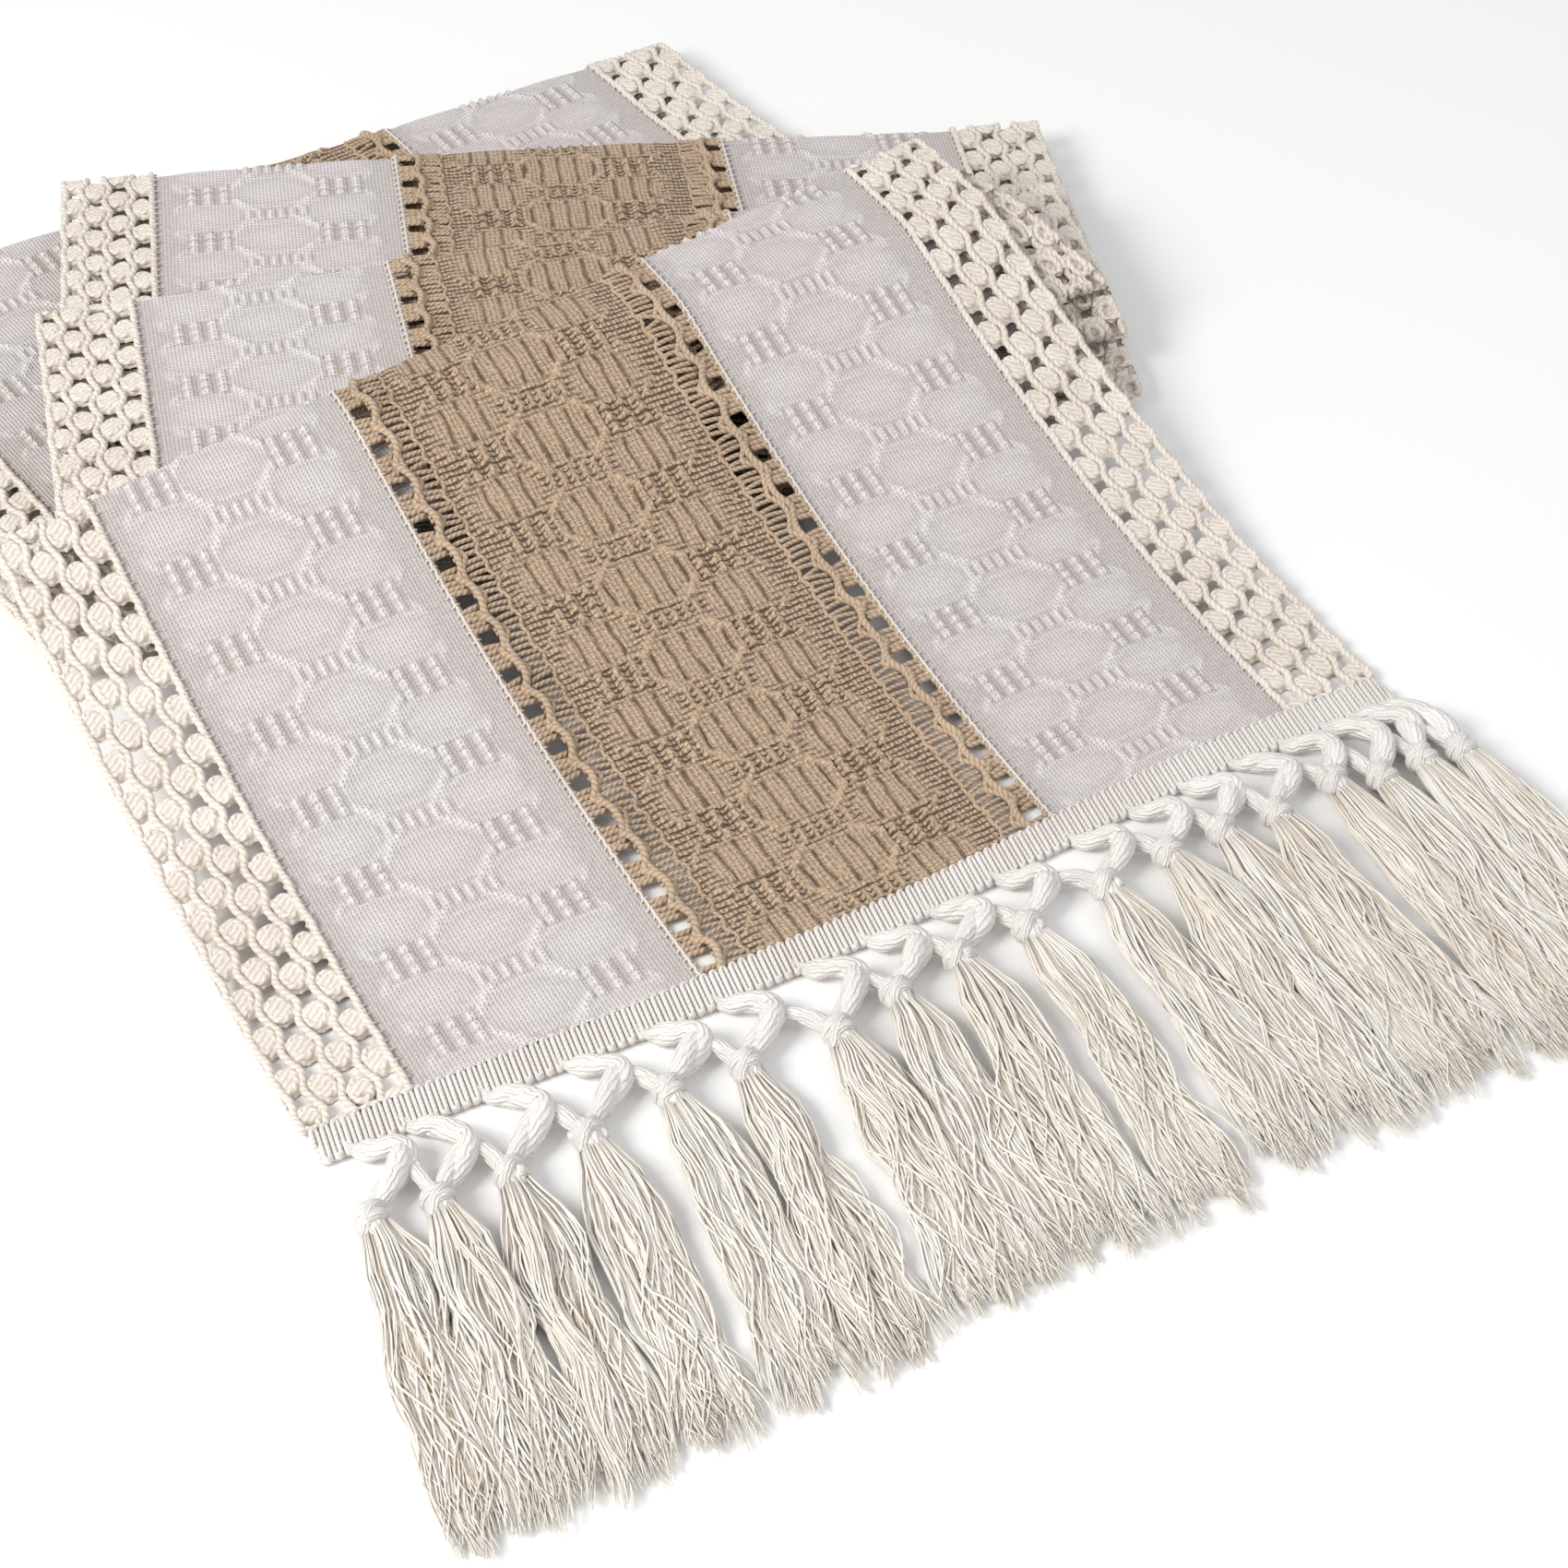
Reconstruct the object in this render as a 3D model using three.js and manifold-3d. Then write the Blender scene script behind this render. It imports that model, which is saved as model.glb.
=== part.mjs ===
// Table runner, folded in a loose zigzag pile with its front end and fringe laid out flat.
// Units are millimetres, +Z is up, +X runs along the front hem and +Y points into the pile.
// Cloth is described by two lengths: u, measured across the runner from its middle, and s,
// measured along it from the front hem. A fold turns the cloth back under itself.
import * as THREE from 'three';
import { mergeVertices } from 'three/addons/utils/BufferGeometryUtils.js';
import Module from 'manifold-3d';

const wasm = await Module();
wasm.setup();

// ---- driving dimensions -------------------------------------------------------------------
const RUNNER_WIDTH = 305;
const BORDER_WIDTH = 27.5;        // crocheted lace along each side
const CENTRE_WIDTH = 102;         // tan middle panel
const CLOTH_THICKNESS = 1.6;
const PIECE_GAP = 0.4;            // air left between neighbouring solids
const FIRST_HEIGHT = 1.1;         // middle of the cloth where it lies on the table
const PANEL_CLIMB = 1.026e-3;     // the front panel climbs by this times the distance squared
const TOP_HEIGHT = 40.5;
const BLEND = 1.2;                // rounds the corner where two height rules meet

const SEAM_WIDTH = 2.2;
const SEAM_THICKNESS = 0.5;

// The front hem lies in a slight bow: it starts this far forward at the left, and each step moves
// it back or forward smoothly between two places along the hem.
const BOW_START = -0.8;
const BOW_STEPS = [
  { from: -140, to: -60, shift: -2.2 },
  { from: -20, to: 105, shift: 7.2 },
  { from: 105, to: 150, shift: -0.8 },
];
const BOW_FADE = 120;             // the bow is gone this far up the cloth

const BAND_DEPTH = 10.5;
const BAND_THICKNESS = 2.8;
const ROOT_GAP = 0.9;             // air between the band and the cords that come out of it
const ROOT_SHIFT = 9;             // a cord leaves the band this far to the left of its upper knot
const ROOT_Z = 2.8;

// The knots are tied by hand, so each has its own place, in front of the hem: the lower knot of
// each tassel, and the upper one where its cord bends back from the band.
const KNOTS = [
  { x: -149.4, y: -32.2, upperX: -136, upperY: -17 },
  { x: -134.4, y: -35.2, upperX: -122, upperY: -20 },
  { x: -117.2, y: -35.3, upperX: -103, upperY: -18.5 },
  { x: -97.2, y: -33.3, upperX: -83, upperY: -17.5 },
  { x: -75.5, y: -30.2, upperX: -62.5, upperY: -17 },
  { x: -56.6, y: -32.3, upperX: -43, upperY: -18 },
  { x: -32.7, y: -33.5, upperX: -20.5, upperY: -18 },
  { x: -14.9, y: -30, upperX: -2.5, upperY: -17 },
  { x: 3.9, y: -27.5, upperX: 16, upperY: -16.5 },
  { x: 23.4, y: -29, upperX: 35.5, upperY: -17 },
  { x: 47.3, y: -28.6, upperX: 59, upperY: -17 },
  { x: 66.7, y: -28.6, upperX: 77, upperY: -17 },
  { x: 82.8, y: -29.6, upperX: 93, upperY: -17 },
  { x: 97.8, y: -31.7, upperX: 109.5, upperY: -18.5 },
  { x: 117.3, y: -29.4, upperX: 124, upperY: -17 },
  { x: 128.4, y: -34, upperX: 137, upperY: -19.5 },
  { x: 141.2, y: -33, upperX: 146, upperY: -18.5 },
  { x: 152, y: -35.4, upperX: 152, upperY: -20 },
];
const KNOT_RADIUS = 4;
const UPPER_KNOT_RADIUS = 3.3;
const CORD_RADIUS = 2.6;
const THIN_CORD_RADIUS = 2;
const TASSEL_TOP = -31;           // where the tassels' common drift to one side begins
const TASSEL_TIP = -121;
const TASSEL_LEAN = -8;
const TASSEL_SPREAD = 0.03;       // the tassel tips fan out by this share of their place
const TASSEL_HALF_WIDTH = 8;
const NECK_HALF_WIDTH = 3.2;
const TASSEL_THINNING = 1.6;      // a tassel's tip is thinner than its neck by twice this
const TABLE_GAP = 0.2;            // the bands touch the table; knots and tassels stay just clear

// The front fringe lies free. The rear one is pressed flat under the pile, where nobody looks, and
// its hem is straight.
const FRONT_END = {
  name: 'front', bow: 1, flattening: 1, cordSides: 6, knotSides: 7, knotRings: 4, tasselSides: 8,
};
const REAR_END = {
  name: 'rear', bow: 0, flattening: 0.6, cordSides: 4, knotSides: 6, knotRings: 3, tasselSides: 6,
};

// Each length of cloth runs from one fold to the next: its length along the middle line, and the
// angle of the fold line that ends it, in degrees from the hem.
const LENGTHS = [
  { length: 215, foldAngle: 8 },
  { length: 55, foldAngle: 0 },
  { length: 100, foldAngle: -15 },
  { length: 66, foldAngle: -17 },
  { length: 132, foldAngle: -20 },
  { length: 179, foldAngle: -6.5 },
  { length: 224, foldAngle: 1 },
  { length: 20, foldAngle: null },
];
const STEP = 25;                  // longest straight step along the cloth
const BEND_STEPS = 5;

const WHITE = { color: 0xe9e4e2, roughness: 0.9, metalness: 0 };
const CREAM = { color: 0xeee8e0, roughness: 0.85, metalness: 0 };
const TAN = { color: 0xb59c7d, roughness: 0.95, metalness: 0 };

// ---- the folded layout --------------------------------------------------------------------
const toRadians = THREE.MathUtils.degToRad;
const direction = (degrees) => new THREE.Vector2(Math.cos(toRadians(degrees)), Math.sin(toRadians(degrees)));

// Lays the lengths of cloth end to end. Odd ones show their face, even ones their back, and
// every fold line works as a mirror for the direction in which the cloth goes on.
function layOut() {
  let start = new THREE.Vector2(0, 0);
  let heading = 90;
  let side = 1;
  let travelled = 0;
  return LENGTHS.map(({ length, foldAngle }, index) => {
    const along = direction(heading);
    const across = direction(heading - 90 * side);
    const end = start.clone().addScaledVector(along, length);
    const panel = { index, start, end, along, across, side, from: travelled, to: travelled + length };
    if (foldAngle !== null) {
      const line = direction(foldAngle);
      const out = new THREE.Vector2(-line.y, line.x);
      panel.line = line;
      panel.out = out.dot(along) > 0 ? out : out.negate();
      heading = 2 * foldAngle - heading;
    }
    start = end;
    side = -side;
    travelled += length;
    return panel;
  });
}
const PANELS = layOut();

// ---- heights of the layers ----------------------------------------------------------------
const smoothLower = (a, b) => -BLEND * Math.log(Math.exp(-a / BLEND) + Math.exp(-b / BLEND));
const smoothUpper = (a, b) => -smoothLower(-a, -b);
const ramp = THREE.MathUtils.smoothstep;

// How far the bow moves the hem away from a straight line, at a place along it.
function hemBow(x) {
  return BOW_STEPS.reduce((sum, { from, to, shift }) => sum + shift * ramp(x, from, to), BOW_START);
}

// Height of the middle of each layer on the pile, from the top layer down, at a place (x, y).
function pileHeight(layer, x, y) {
  const t = THREE.MathUtils.clamp((x + 71) / 286, -0.3, 1);
  const third = 24 - t - 15.5 * t * Math.abs(t);
  const second = 30.5 - 8.5 * ramp(x, 80, 200);
  const backLift = 2.4 * ramp(y, 330, 372);
  const heights = [
    TOP_HEIGHT,
    37,
    second,
    second - 3.2,
    third,
    third - 4.2 + t,
    6 + backLift,
    1.4 + 1.2 * backLift,
  ];
  return heights[layer];
}

// The front panel slopes up on to the pile, and the layers under it droop below it: a layer is
// never higher than its place under the front panel, nor lower than its place above the table.
function layerHeight(layer, x, y) {
  const slope = FIRST_HEIGHT + PANEL_CLIMB * y * Math.abs(y);
  if (layer === 0) return smoothLower(slope, TOP_HEIGHT);
  const underFront = slope - 3.4 * layer;
  const overTable = [0, 24, 20, 14.4, 11.1, 7.8, 4.6, 1.4][layer];
  const limited = smoothLower(underFront, pileHeight(layer, x, y));
  return layer < 3 ? limited : smoothUpper(limited, overTable);
}

// The point of the cloth at u across and s along, raised by h from its middle towards its face.
// Through a fold the cloth follows a half circle between the two layers that it joins.
function clothPoint(u, s, h) {
  const panel = PANELS.find((each) => each.line && foldDistance(each, u, s) <= bend(each, u).reach) ??
    PANELS[PANELS.length - 1];
  const flat = flatPlace(panel, u, s);
  const distance = panel.line ? foldDistance(panel, u, s) : -Infinity;
  const { radius, middle, reach, origin } = bend(panel, u);
  if (distance < -reach) {
    const z = layerHeight(panel.index, flat.x, flat.y);
    return new THREE.Vector3(flat.x, flat.y, z + h * panel.side);
  }
  const turn = distance / radius;
  const reachOut = radius + h * panel.side;
  const outward = reachOut * Math.cos(turn) - reach;
  const shift = flat.clone().sub(origin).dot(panel.line);
  const place = origin.clone().addScaledVector(panel.line, shift).addScaledVector(panel.out, outward);
  return new THREE.Vector3(place.x, place.y, middle - reachOut * Math.sin(turn));
}

function flatPlace(panel, u, s) {
  const bow = panel.index === 0 ? hemBow(u) * (1 - ramp(s, 0, BOW_FADE)) : 0;
  const advance = s - panel.from + bow;
  return panel.start.clone().addScaledVector(panel.along, advance).addScaledVector(panel.across, u);
}

// How far a point of the cloth is past the fold line that ends a panel.
function foldDistance(panel, u, s) {
  return flatPlace(panel, u, s).sub(panel.end).dot(panel.out);
}

// The half circle at the end of a panel: its radius is half the drop between the two layers.
function bend(panel, u) {
  if (!panel.line) return { radius: 1, middle: 0, reach: -Infinity, origin: panel.end };
  const shift = u / panel.line.dot(panel.across);
  const onLine = panel.end.clone().addScaledVector(panel.line, shift);
  let radius = 2;
  let upper = 0;
  for (let pass = 0; pass < 4; pass += 1) {
    const entry = onLine.clone().addScaledVector(panel.out, -radius * Math.PI / 2);
    upper = layerHeight(panel.index, entry.x, entry.y);
    radius = (upper - layerHeight(panel.index + 1, entry.x, entry.y)) / 2;
  }
  return { radius, middle: upper - radius, reach: radius * Math.PI / 2, origin: onLine };
}

// Length s at which the cloth stands at a given distance from a fold line.
function lengthAt(panel, u, distance) {
  const atEnd = foldDistance(panel, u, panel.to);
  return panel.to + (distance - atEnd) / panel.along.dot(panel.out);
}

// Rows of the cloth from hem to hem: each is a function from u to s.
function clothRows() {
  const rows = [];
  PANELS.forEach((panel, index) => {
    const before = index > 0 ? PANELS[index - 1] : null;
    const from = (u) => (before ? lengthAt(before, u, bend(before, u).reach) : PIECE_GAP);
    const to = (u) => (panel.line ? lengthAt(panel, u, -bend(panel, u).reach) : panel.to - PIECE_GAP);
    const steps = Math.max(1, Math.round((panel.to - panel.from) / STEP));
    for (let step = index > 0 ? 1 : 0; step <= steps; step += 1) {
      rows.push((u) => THREE.MathUtils.lerp(from(u), to(u), step / steps));
    }
    if (!panel.line) return;
    for (let step = 1; step <= BEND_STEPS; step += 1) {
      rows.push((u) => lengthAt(panel, u, bend(panel, u).reach * (2 * step / BEND_STEPS - 1)));
    }
  });
  return rows;
}
const ROWS = clothRows();

// ---- closed solids ------------------------------------------------------------------------
// A closed skin through rings of points: each ring is one cross-section, with flat ends.
function skin(rings) {
  const size = rings[0].length;
  const positions = rings.flat().flatMap((point) => [point.x, point.y, point.z]);
  const faces = [];
  for (let ring = 0; ring + 1 < rings.length; ring += 1) {
    for (let i = 0; i < size; i += 1) {
      const a = ring * size + i;
      const b = ring * size + (i + 1) % size;
      faces.push(a, b, b + size, a, b + size, a + size);
    }
  }
  const last = (rings.length - 1) * size;
  capTriangles(size).forEach(([i, j, k]) => faces.push(i, k, j, last + i, last + j, last + k));
  const geometry = new THREE.BufferGeometry();
  geometry.setAttribute('position', new THREE.Float32BufferAttribute(positions, 3));
  geometry.setIndex(faces);
  return outwards(geometry);
}

// Triangles that close a ring whose two long sides face each other.
function capTriangles(size) {
  const triangles = [];
  let low = 0;
  let high = size - 1;
  while (high - low > 1) {
    triangles.push([low, low + 1, high]);
    low += 1;
    if (high - low > 1) triangles.push([low, high - 1, high]);
    high -= 1;
  }
  return triangles;
}

function signedVolume(geometry) {
  const place = geometry.getAttribute('position');
  const index = geometry.index.array;
  const [a, b, c] = [new THREE.Vector3(), new THREE.Vector3(), new THREE.Vector3()];
  let volume = 0;
  for (let i = 0; i < index.length; i += 3) {
    a.fromBufferAttribute(place, index[i]);
    b.fromBufferAttribute(place, index[i + 1]);
    c.fromBufferAttribute(place, index[i + 2]);
    volume += a.dot(b.cross(c)) / 6;
  }
  return volume;
}

function outwards(geometry) {
  if (signedVolume(geometry) > 0) return geometry;
  const index = Array.from(geometry.index.array);
  for (let i = 0; i < index.length; i += 3) [index[i], index[i + 1]] = [index[i + 1], index[i]];
  geometry.setIndex(index);
  return geometry;
}

// A strip of cloth between two values of u and two heights, over the whole length of the runner.
function strip(fromU, toU, columns, low, high) {
  const across = Array.from({ length: columns + 1 }, (_, i) => THREE.MathUtils.lerp(fromU, toU, i / columns));
  return skin(ROWS.map((row) => [
    ...across.map((u) => clothPoint(u, row(u), low)),
    ...across.toReversed().map((u) => clothPoint(u, row(u), high)),
  ]));
}

function toManifold(geometry) {
  const bare = new THREE.BufferGeometry();
  bare.setAttribute('position', geometry.getAttribute('position'));
  if (geometry.index) bare.setIndex(geometry.index);
  const merged = mergeVertices(bare, 1e-4);
  return new wasm.Manifold(new wasm.Mesh({
    numProp: 3,
    vertProperties: new Float32Array(merged.getAttribute('position').array),
    triVerts: new Uint32Array(merged.index.array),
  }));
}

function toGeometry(manifold) {
  const { vertProperties, triVerts } = manifold.getMesh();
  const geometry = new THREE.BufferGeometry();
  geometry.setAttribute('position', new THREE.BufferAttribute(new Float32Array(vertProperties), 3));
  geometry.setIndex(new THREE.BufferAttribute(new Uint32Array(triVerts), 1));
  return geometry;
}

function mesh(name, geometry, finish) {
  const result = new THREE.Mesh(geometry, new THREE.MeshStandardMaterial(finish));
  result.name = name;
  return result;
}

// ---- the woven and crocheted strips ---------------------------------------------------------
const HALF_WIDTH = RUNNER_WIDTH / 2;
const BORDER_EDGE = HALF_WIDTH - BORDER_WIDTH;
const CENTRE_EDGE = CENTRE_WIDTH / 2;
const LACE_COLUMNS = 1;
const WHITE_COLUMNS = 2;
const TAN_COLUMNS = 3;

function makeStrips(group) {
  const half = CLOTH_THICKNESS / 2;
  const gap = PIECE_GAP / 2;
  const strips = [
    ['lace_border_left', -HALF_WIDTH, -BORDER_EDGE - gap, LACE_COLUMNS, CREAM],
    ['white_panel_left', -BORDER_EDGE + gap, -CENTRE_EDGE - gap, WHITE_COLUMNS, WHITE],
    ['tan_centre_panel', -CENTRE_EDGE + gap, CENTRE_EDGE - gap, TAN_COLUMNS, TAN],
    ['white_panel_right', CENTRE_EDGE + gap, BORDER_EDGE - gap, WHITE_COLUMNS, WHITE],
    ['lace_border_right', BORDER_EDGE + gap, HALF_WIDTH, LACE_COLUMNS, CREAM],
  ];
  strips.forEach(([name, fromU, toU, columns, finish]) => {
    group.add(mesh(name, strip(fromU, toU, columns, -half, half), finish));
  });
}

// Each seam is a line of stitches on the face, over the joint between two strips.
function makeSeams(group) {
  const seams = [
    ['seam_lace_left', -BORDER_EDGE],
    ['seam_centre_left', -CENTRE_EDGE],
    ['seam_centre_right', CENTRE_EDGE],
    ['seam_lace_right', BORDER_EDGE],
  ];
  const low = CLOTH_THICKNESS / 2 + PIECE_GAP / 2;
  seams.forEach(([name, u]) => {
    const body = strip(u - SEAM_WIDTH / 2, u + SEAM_WIDTH / 2, 1, low, low + SEAM_THICKNESS);
    group.add(mesh(name, body, WHITE));
  });
}

// ---- hem band, netting and tassels, made at the front hem -------------------------------------
// The band bends at the same places as the strips of cloth, so the air between them stays even.
function makeBand(end) {
  const whiteMiddle = (BORDER_EDGE + CENTRE_EDGE) / WHITE_COLUMNS;
  const tanStep = CENTRE_EDGE - CENTRE_WIDTH / TAN_COLUMNS;
  const right = [tanStep, CENTRE_EDGE, whiteMiddle, BORDER_EDGE, HALF_WIDTH];
  const stations = [...right.toReversed().map((x) => -x), ...right];
  const rings = stations.map((x) => {
    const back = hemBow(x) * end.bow;
    const front = back - BAND_DEPTH;
    return [[front, 0], [back, 0], [back, BAND_THICKNESS], [front, BAND_THICKNESS]].map(
      ([y, z]) => new THREE.Vector3(x, y, z));
  });
  return mesh(`${end.name}_end_band`, skin(rings), CREAM);
}

const knotY = (index, end) => KNOTS[index].y + hemBow(KNOTS[index].x) * end.bow;

function cord(points, radius, end) {
  const section = new THREE.Shape();
  section.absarc(0, 0, radius, 0, 2 * Math.PI);
  const path = new THREE.CatmullRomCurve3(points);
  return new THREE.ExtrudeGeometry(section, {
    curveSegments: end.cordSides / 2, steps: 2 * points.length - 3, extrudePath: path, bevelEnabled: false,
  });
}

function knot(x, y, radius, end) {
  const geometry = new THREE.SphereGeometry(radius, end.knotSides, end.knotRings);
  geometry.rotateX(Math.PI / 2);
  geometry.translate(x, y, KNOT_RADIUS + TABLE_GAP);
  return geometry;
}

// From the band a cord loops right into its upper knot. A thick cord goes on from there down to
// the lower knot on the left, and a thin one to the next lower knot on the right.
function nettingParts(index, end) {
  const { x, upperX, upperY } = KNOTS[index];
  const z = KNOT_RADIUS + TABLE_GAP;
  const bow = hemBow(upperX) * end.bow;
  const lower = new THREE.Vector3(x, knotY(index, end), z);
  const upper = new THREE.Vector3(upperX, upperY + bow, z);
  const root = new THREE.Vector3(upperX - ROOT_SHIFT, bow - BAND_DEPTH - CORD_RADIUS - ROOT_GAP, ROOT_Z);
  const turn = root.clone().lerp(upper, 2 / 3).setZ(z);
  const parts = [
    knot(lower.x, lower.y, KNOT_RADIUS, end),
    knot(upper.x, upper.y, UPPER_KNOT_RADIUS, end),
    cord([root, turn, upper], CORD_RADIUS, end),
    cord([upper, lower], CORD_RADIUS, end),
  ];
  if (index + 1 < KNOTS.length) {
    const next = new THREE.Vector3(KNOTS[index + 1].x, knotY(index + 1, end), z);
    parts.push(cord([upper, next], THIN_CORD_RADIUS, end));
  }
  return parts;
}

function makeNetting(name, end) {
  let whole = null;
  for (let index = 0; index < KNOTS.length; index += 1) {
    nettingParts(index, end).forEach((part) => {
      const solid = toManifold(part);
      whole = whole ? whole.add(solid) : solid;
    });
  }
  const geometry = toGeometry(whole);
  geometry.scale(1, 1, end.flattening);
  return mesh(name, geometry, CREAM);
}

// A tassel hangs from its lower knot: a bundle that widens from the neck, sags to the table and
// stays clear of its neighbours all the way.
function makeTassel(name, index, end) {
  const place = (each, y) => {
    const drift = Math.max(0, (TASSEL_TOP - y) / (TASSEL_TOP - TASSEL_TIP)) ** 1.5;
    return KNOTS[each].x + (TASSEL_LEAN + TASSEL_SPREAD * KNOTS[each].x) * drift;
  };
  const top = knotY(index, end) - KNOT_RADIUS - PIECE_GAP;
  const rings = [0, 0.12, 0.3, 0.55, 0.8, 1].map((t) => {
    const y = THREE.MathUtils.lerp(top, TASSEL_TIP, t);
    const x = place(index, y);
    const leftGap = index > 0 ? x - place(index - 1, y) : Infinity;
    const rightGap = index + 1 < KNOTS.length ? place(index + 1, y) - x : Infinity;
    const room = Math.min(leftGap, rightGap) / 2 - PIECE_GAP / 2;
    const widening = THREE.MathUtils.smoothstep(t, -0.1, 0.5);
    const halfWidth = Math.min(THREE.MathUtils.lerp(NECK_HALF_WIDTH, TASSEL_HALF_WIDTH, widening), room);
    const halfHeight = NECK_HALF_WIDTH - TASSEL_THINNING * t;
    const neckLift = (KNOT_RADIUS - NECK_HALF_WIDTH) * (1 - THREE.MathUtils.smoothstep(t, 0, 0.4));
    const z = TABLE_GAP + halfHeight + neckLift;
    return Array.from({ length: end.tasselSides }, (_, side) => {
      const angle = 2 * Math.PI * (side + 0.5) / end.tasselSides;
      const height = (z + halfHeight * Math.sin(angle)) * end.flattening;
      return new THREE.Vector3(x + halfWidth * Math.cos(angle), y, height);
    });
  });
  return mesh(name, skin(rings), CREAM);
}

const number = (index) => String(index + 1).padStart(2, '0');

function makeEnd(end) {
  const result = new THREE.Group();
  result.add(makeBand(end));
  result.add(makeNetting(`${end.name}_knotted_netting`, end));
  for (let index = 0; index < KNOTS.length; index += 1) {
    result.add(makeTassel(`${end.name}_tassel_${number(index)}`, index, end));
  }
  return result;
}

// ---- assembly -------------------------------------------------------------------------------
const runner = new THREE.Group();
makeStrips(runner);
makeSeams(runner);
runner.add(makeEnd(FRONT_END));

// The rear end comes out under the pile, with its back up and its fringe pointing forward.
const lastPanel = PANELS[PANELS.length - 1];
const rear = makeEnd(REAR_END);
rear.position.set(lastPanel.end.x, lastPanel.end.y, 0);
rear.rotation.z = Math.atan2(lastPanel.across.y, lastPanel.across.x);
runner.add(rear);

// The origin is the middle of the box around the whole runner, on the table.
const box = new THREE.Box3().setFromObject(runner, true);
const middle = box.getCenter(new THREE.Vector3());
runner.position.set(-middle.x, -middle.y, -box.min.z);

const group = new THREE.Group();
group.add(runner);

export default group;
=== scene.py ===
# %% [markdown]
# # A folded table runner
# The runner is a long cloth made of five strips sewn side by side: crocheted lace, white figured
# cloth, tan figured cloth with openwork, white cloth again and lace again. Each end has a braided
# band, a row of knotted cords and eighteen tassels. It lies in a loose zigzag pile, with its
# front end laid out flat. The solids of the design give every place and size. This lesson builds
# the yarns on top of them.

import math

import bpy
import numpy as np
from mathutils import Matrix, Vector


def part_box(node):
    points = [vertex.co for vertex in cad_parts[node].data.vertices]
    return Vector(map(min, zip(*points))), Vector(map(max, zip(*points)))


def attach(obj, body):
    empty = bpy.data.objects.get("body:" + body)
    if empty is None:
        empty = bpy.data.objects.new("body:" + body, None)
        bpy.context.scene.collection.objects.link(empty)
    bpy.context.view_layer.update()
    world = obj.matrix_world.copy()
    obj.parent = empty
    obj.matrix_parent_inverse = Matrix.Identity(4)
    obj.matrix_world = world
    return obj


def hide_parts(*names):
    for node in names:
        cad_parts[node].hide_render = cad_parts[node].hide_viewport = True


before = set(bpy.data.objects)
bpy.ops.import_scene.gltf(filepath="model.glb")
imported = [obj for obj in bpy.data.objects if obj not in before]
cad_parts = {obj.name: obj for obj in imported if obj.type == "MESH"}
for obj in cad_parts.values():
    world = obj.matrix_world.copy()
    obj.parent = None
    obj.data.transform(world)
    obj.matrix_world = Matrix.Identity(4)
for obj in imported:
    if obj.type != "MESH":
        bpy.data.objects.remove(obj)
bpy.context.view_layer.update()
band_low, band_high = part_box("front_end_band")
MM = 0.001
tip_low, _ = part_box("front_tassel_01")
TIP_Y = -121.0
HEM = np.array([(band_low.x + band_high.x) / 2, tip_low.y - TIP_Y * MM, 0.0])

# %% [markdown]
# ## Camera
# The camera stands above the left corner of the fringe and looks down along the cloth. Its
# direction is given by three angles. The three axes are worked out first, because a camera
# matrix is made of its right, up and backward directions.

# %% Camera
PITCH, YAW, ROLL = 0.75482519, 0.50150111, -0.01706087
LENS, SENSOR, NEAREST = 72.053, 36.0, 0.01
CAMERA_FROM_HEM = np.array([-0.2788822, -0.46102067, 0.54513003])
ahead = math.cos(PITCH)
forward = np.array([math.sin(YAW) * ahead, math.cos(YAW) * ahead, -math.sin(PITCH)])
level = np.array([math.cos(YAW), -math.sin(YAW), 0.0])
upright = np.cross(level, forward)
right = math.cos(ROLL) * level + math.sin(ROLL) * upright
up = -math.sin(ROLL) * level + math.cos(ROLL) * upright

camera_data = bpy.data.cameras.new("camera")
camera_data.lens = LENS
camera_data.sensor_width = SENSOR
camera_data.clip_start = NEAREST
camera = bpy.data.objects.new("camera", camera_data)
bpy.context.collection.objects.link(camera)
axes = np.eye(4)
axes[:3, 0], axes[:3, 1], axes[:3, 2] = right, up, -forward
axes[:3, 3] = HEM + CAMERA_FROM_HEM
camera.matrix_world = Matrix(axes.tolist())
bpy.context.scene.camera = camera

# %% [markdown]
# ## Meshes from arrays
# Every piece here is worked out as whole arrays of points and faces. One function puts them into
# a mesh. It takes faces in groups, because a tube has four-sided faces and its ends have more.

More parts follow.
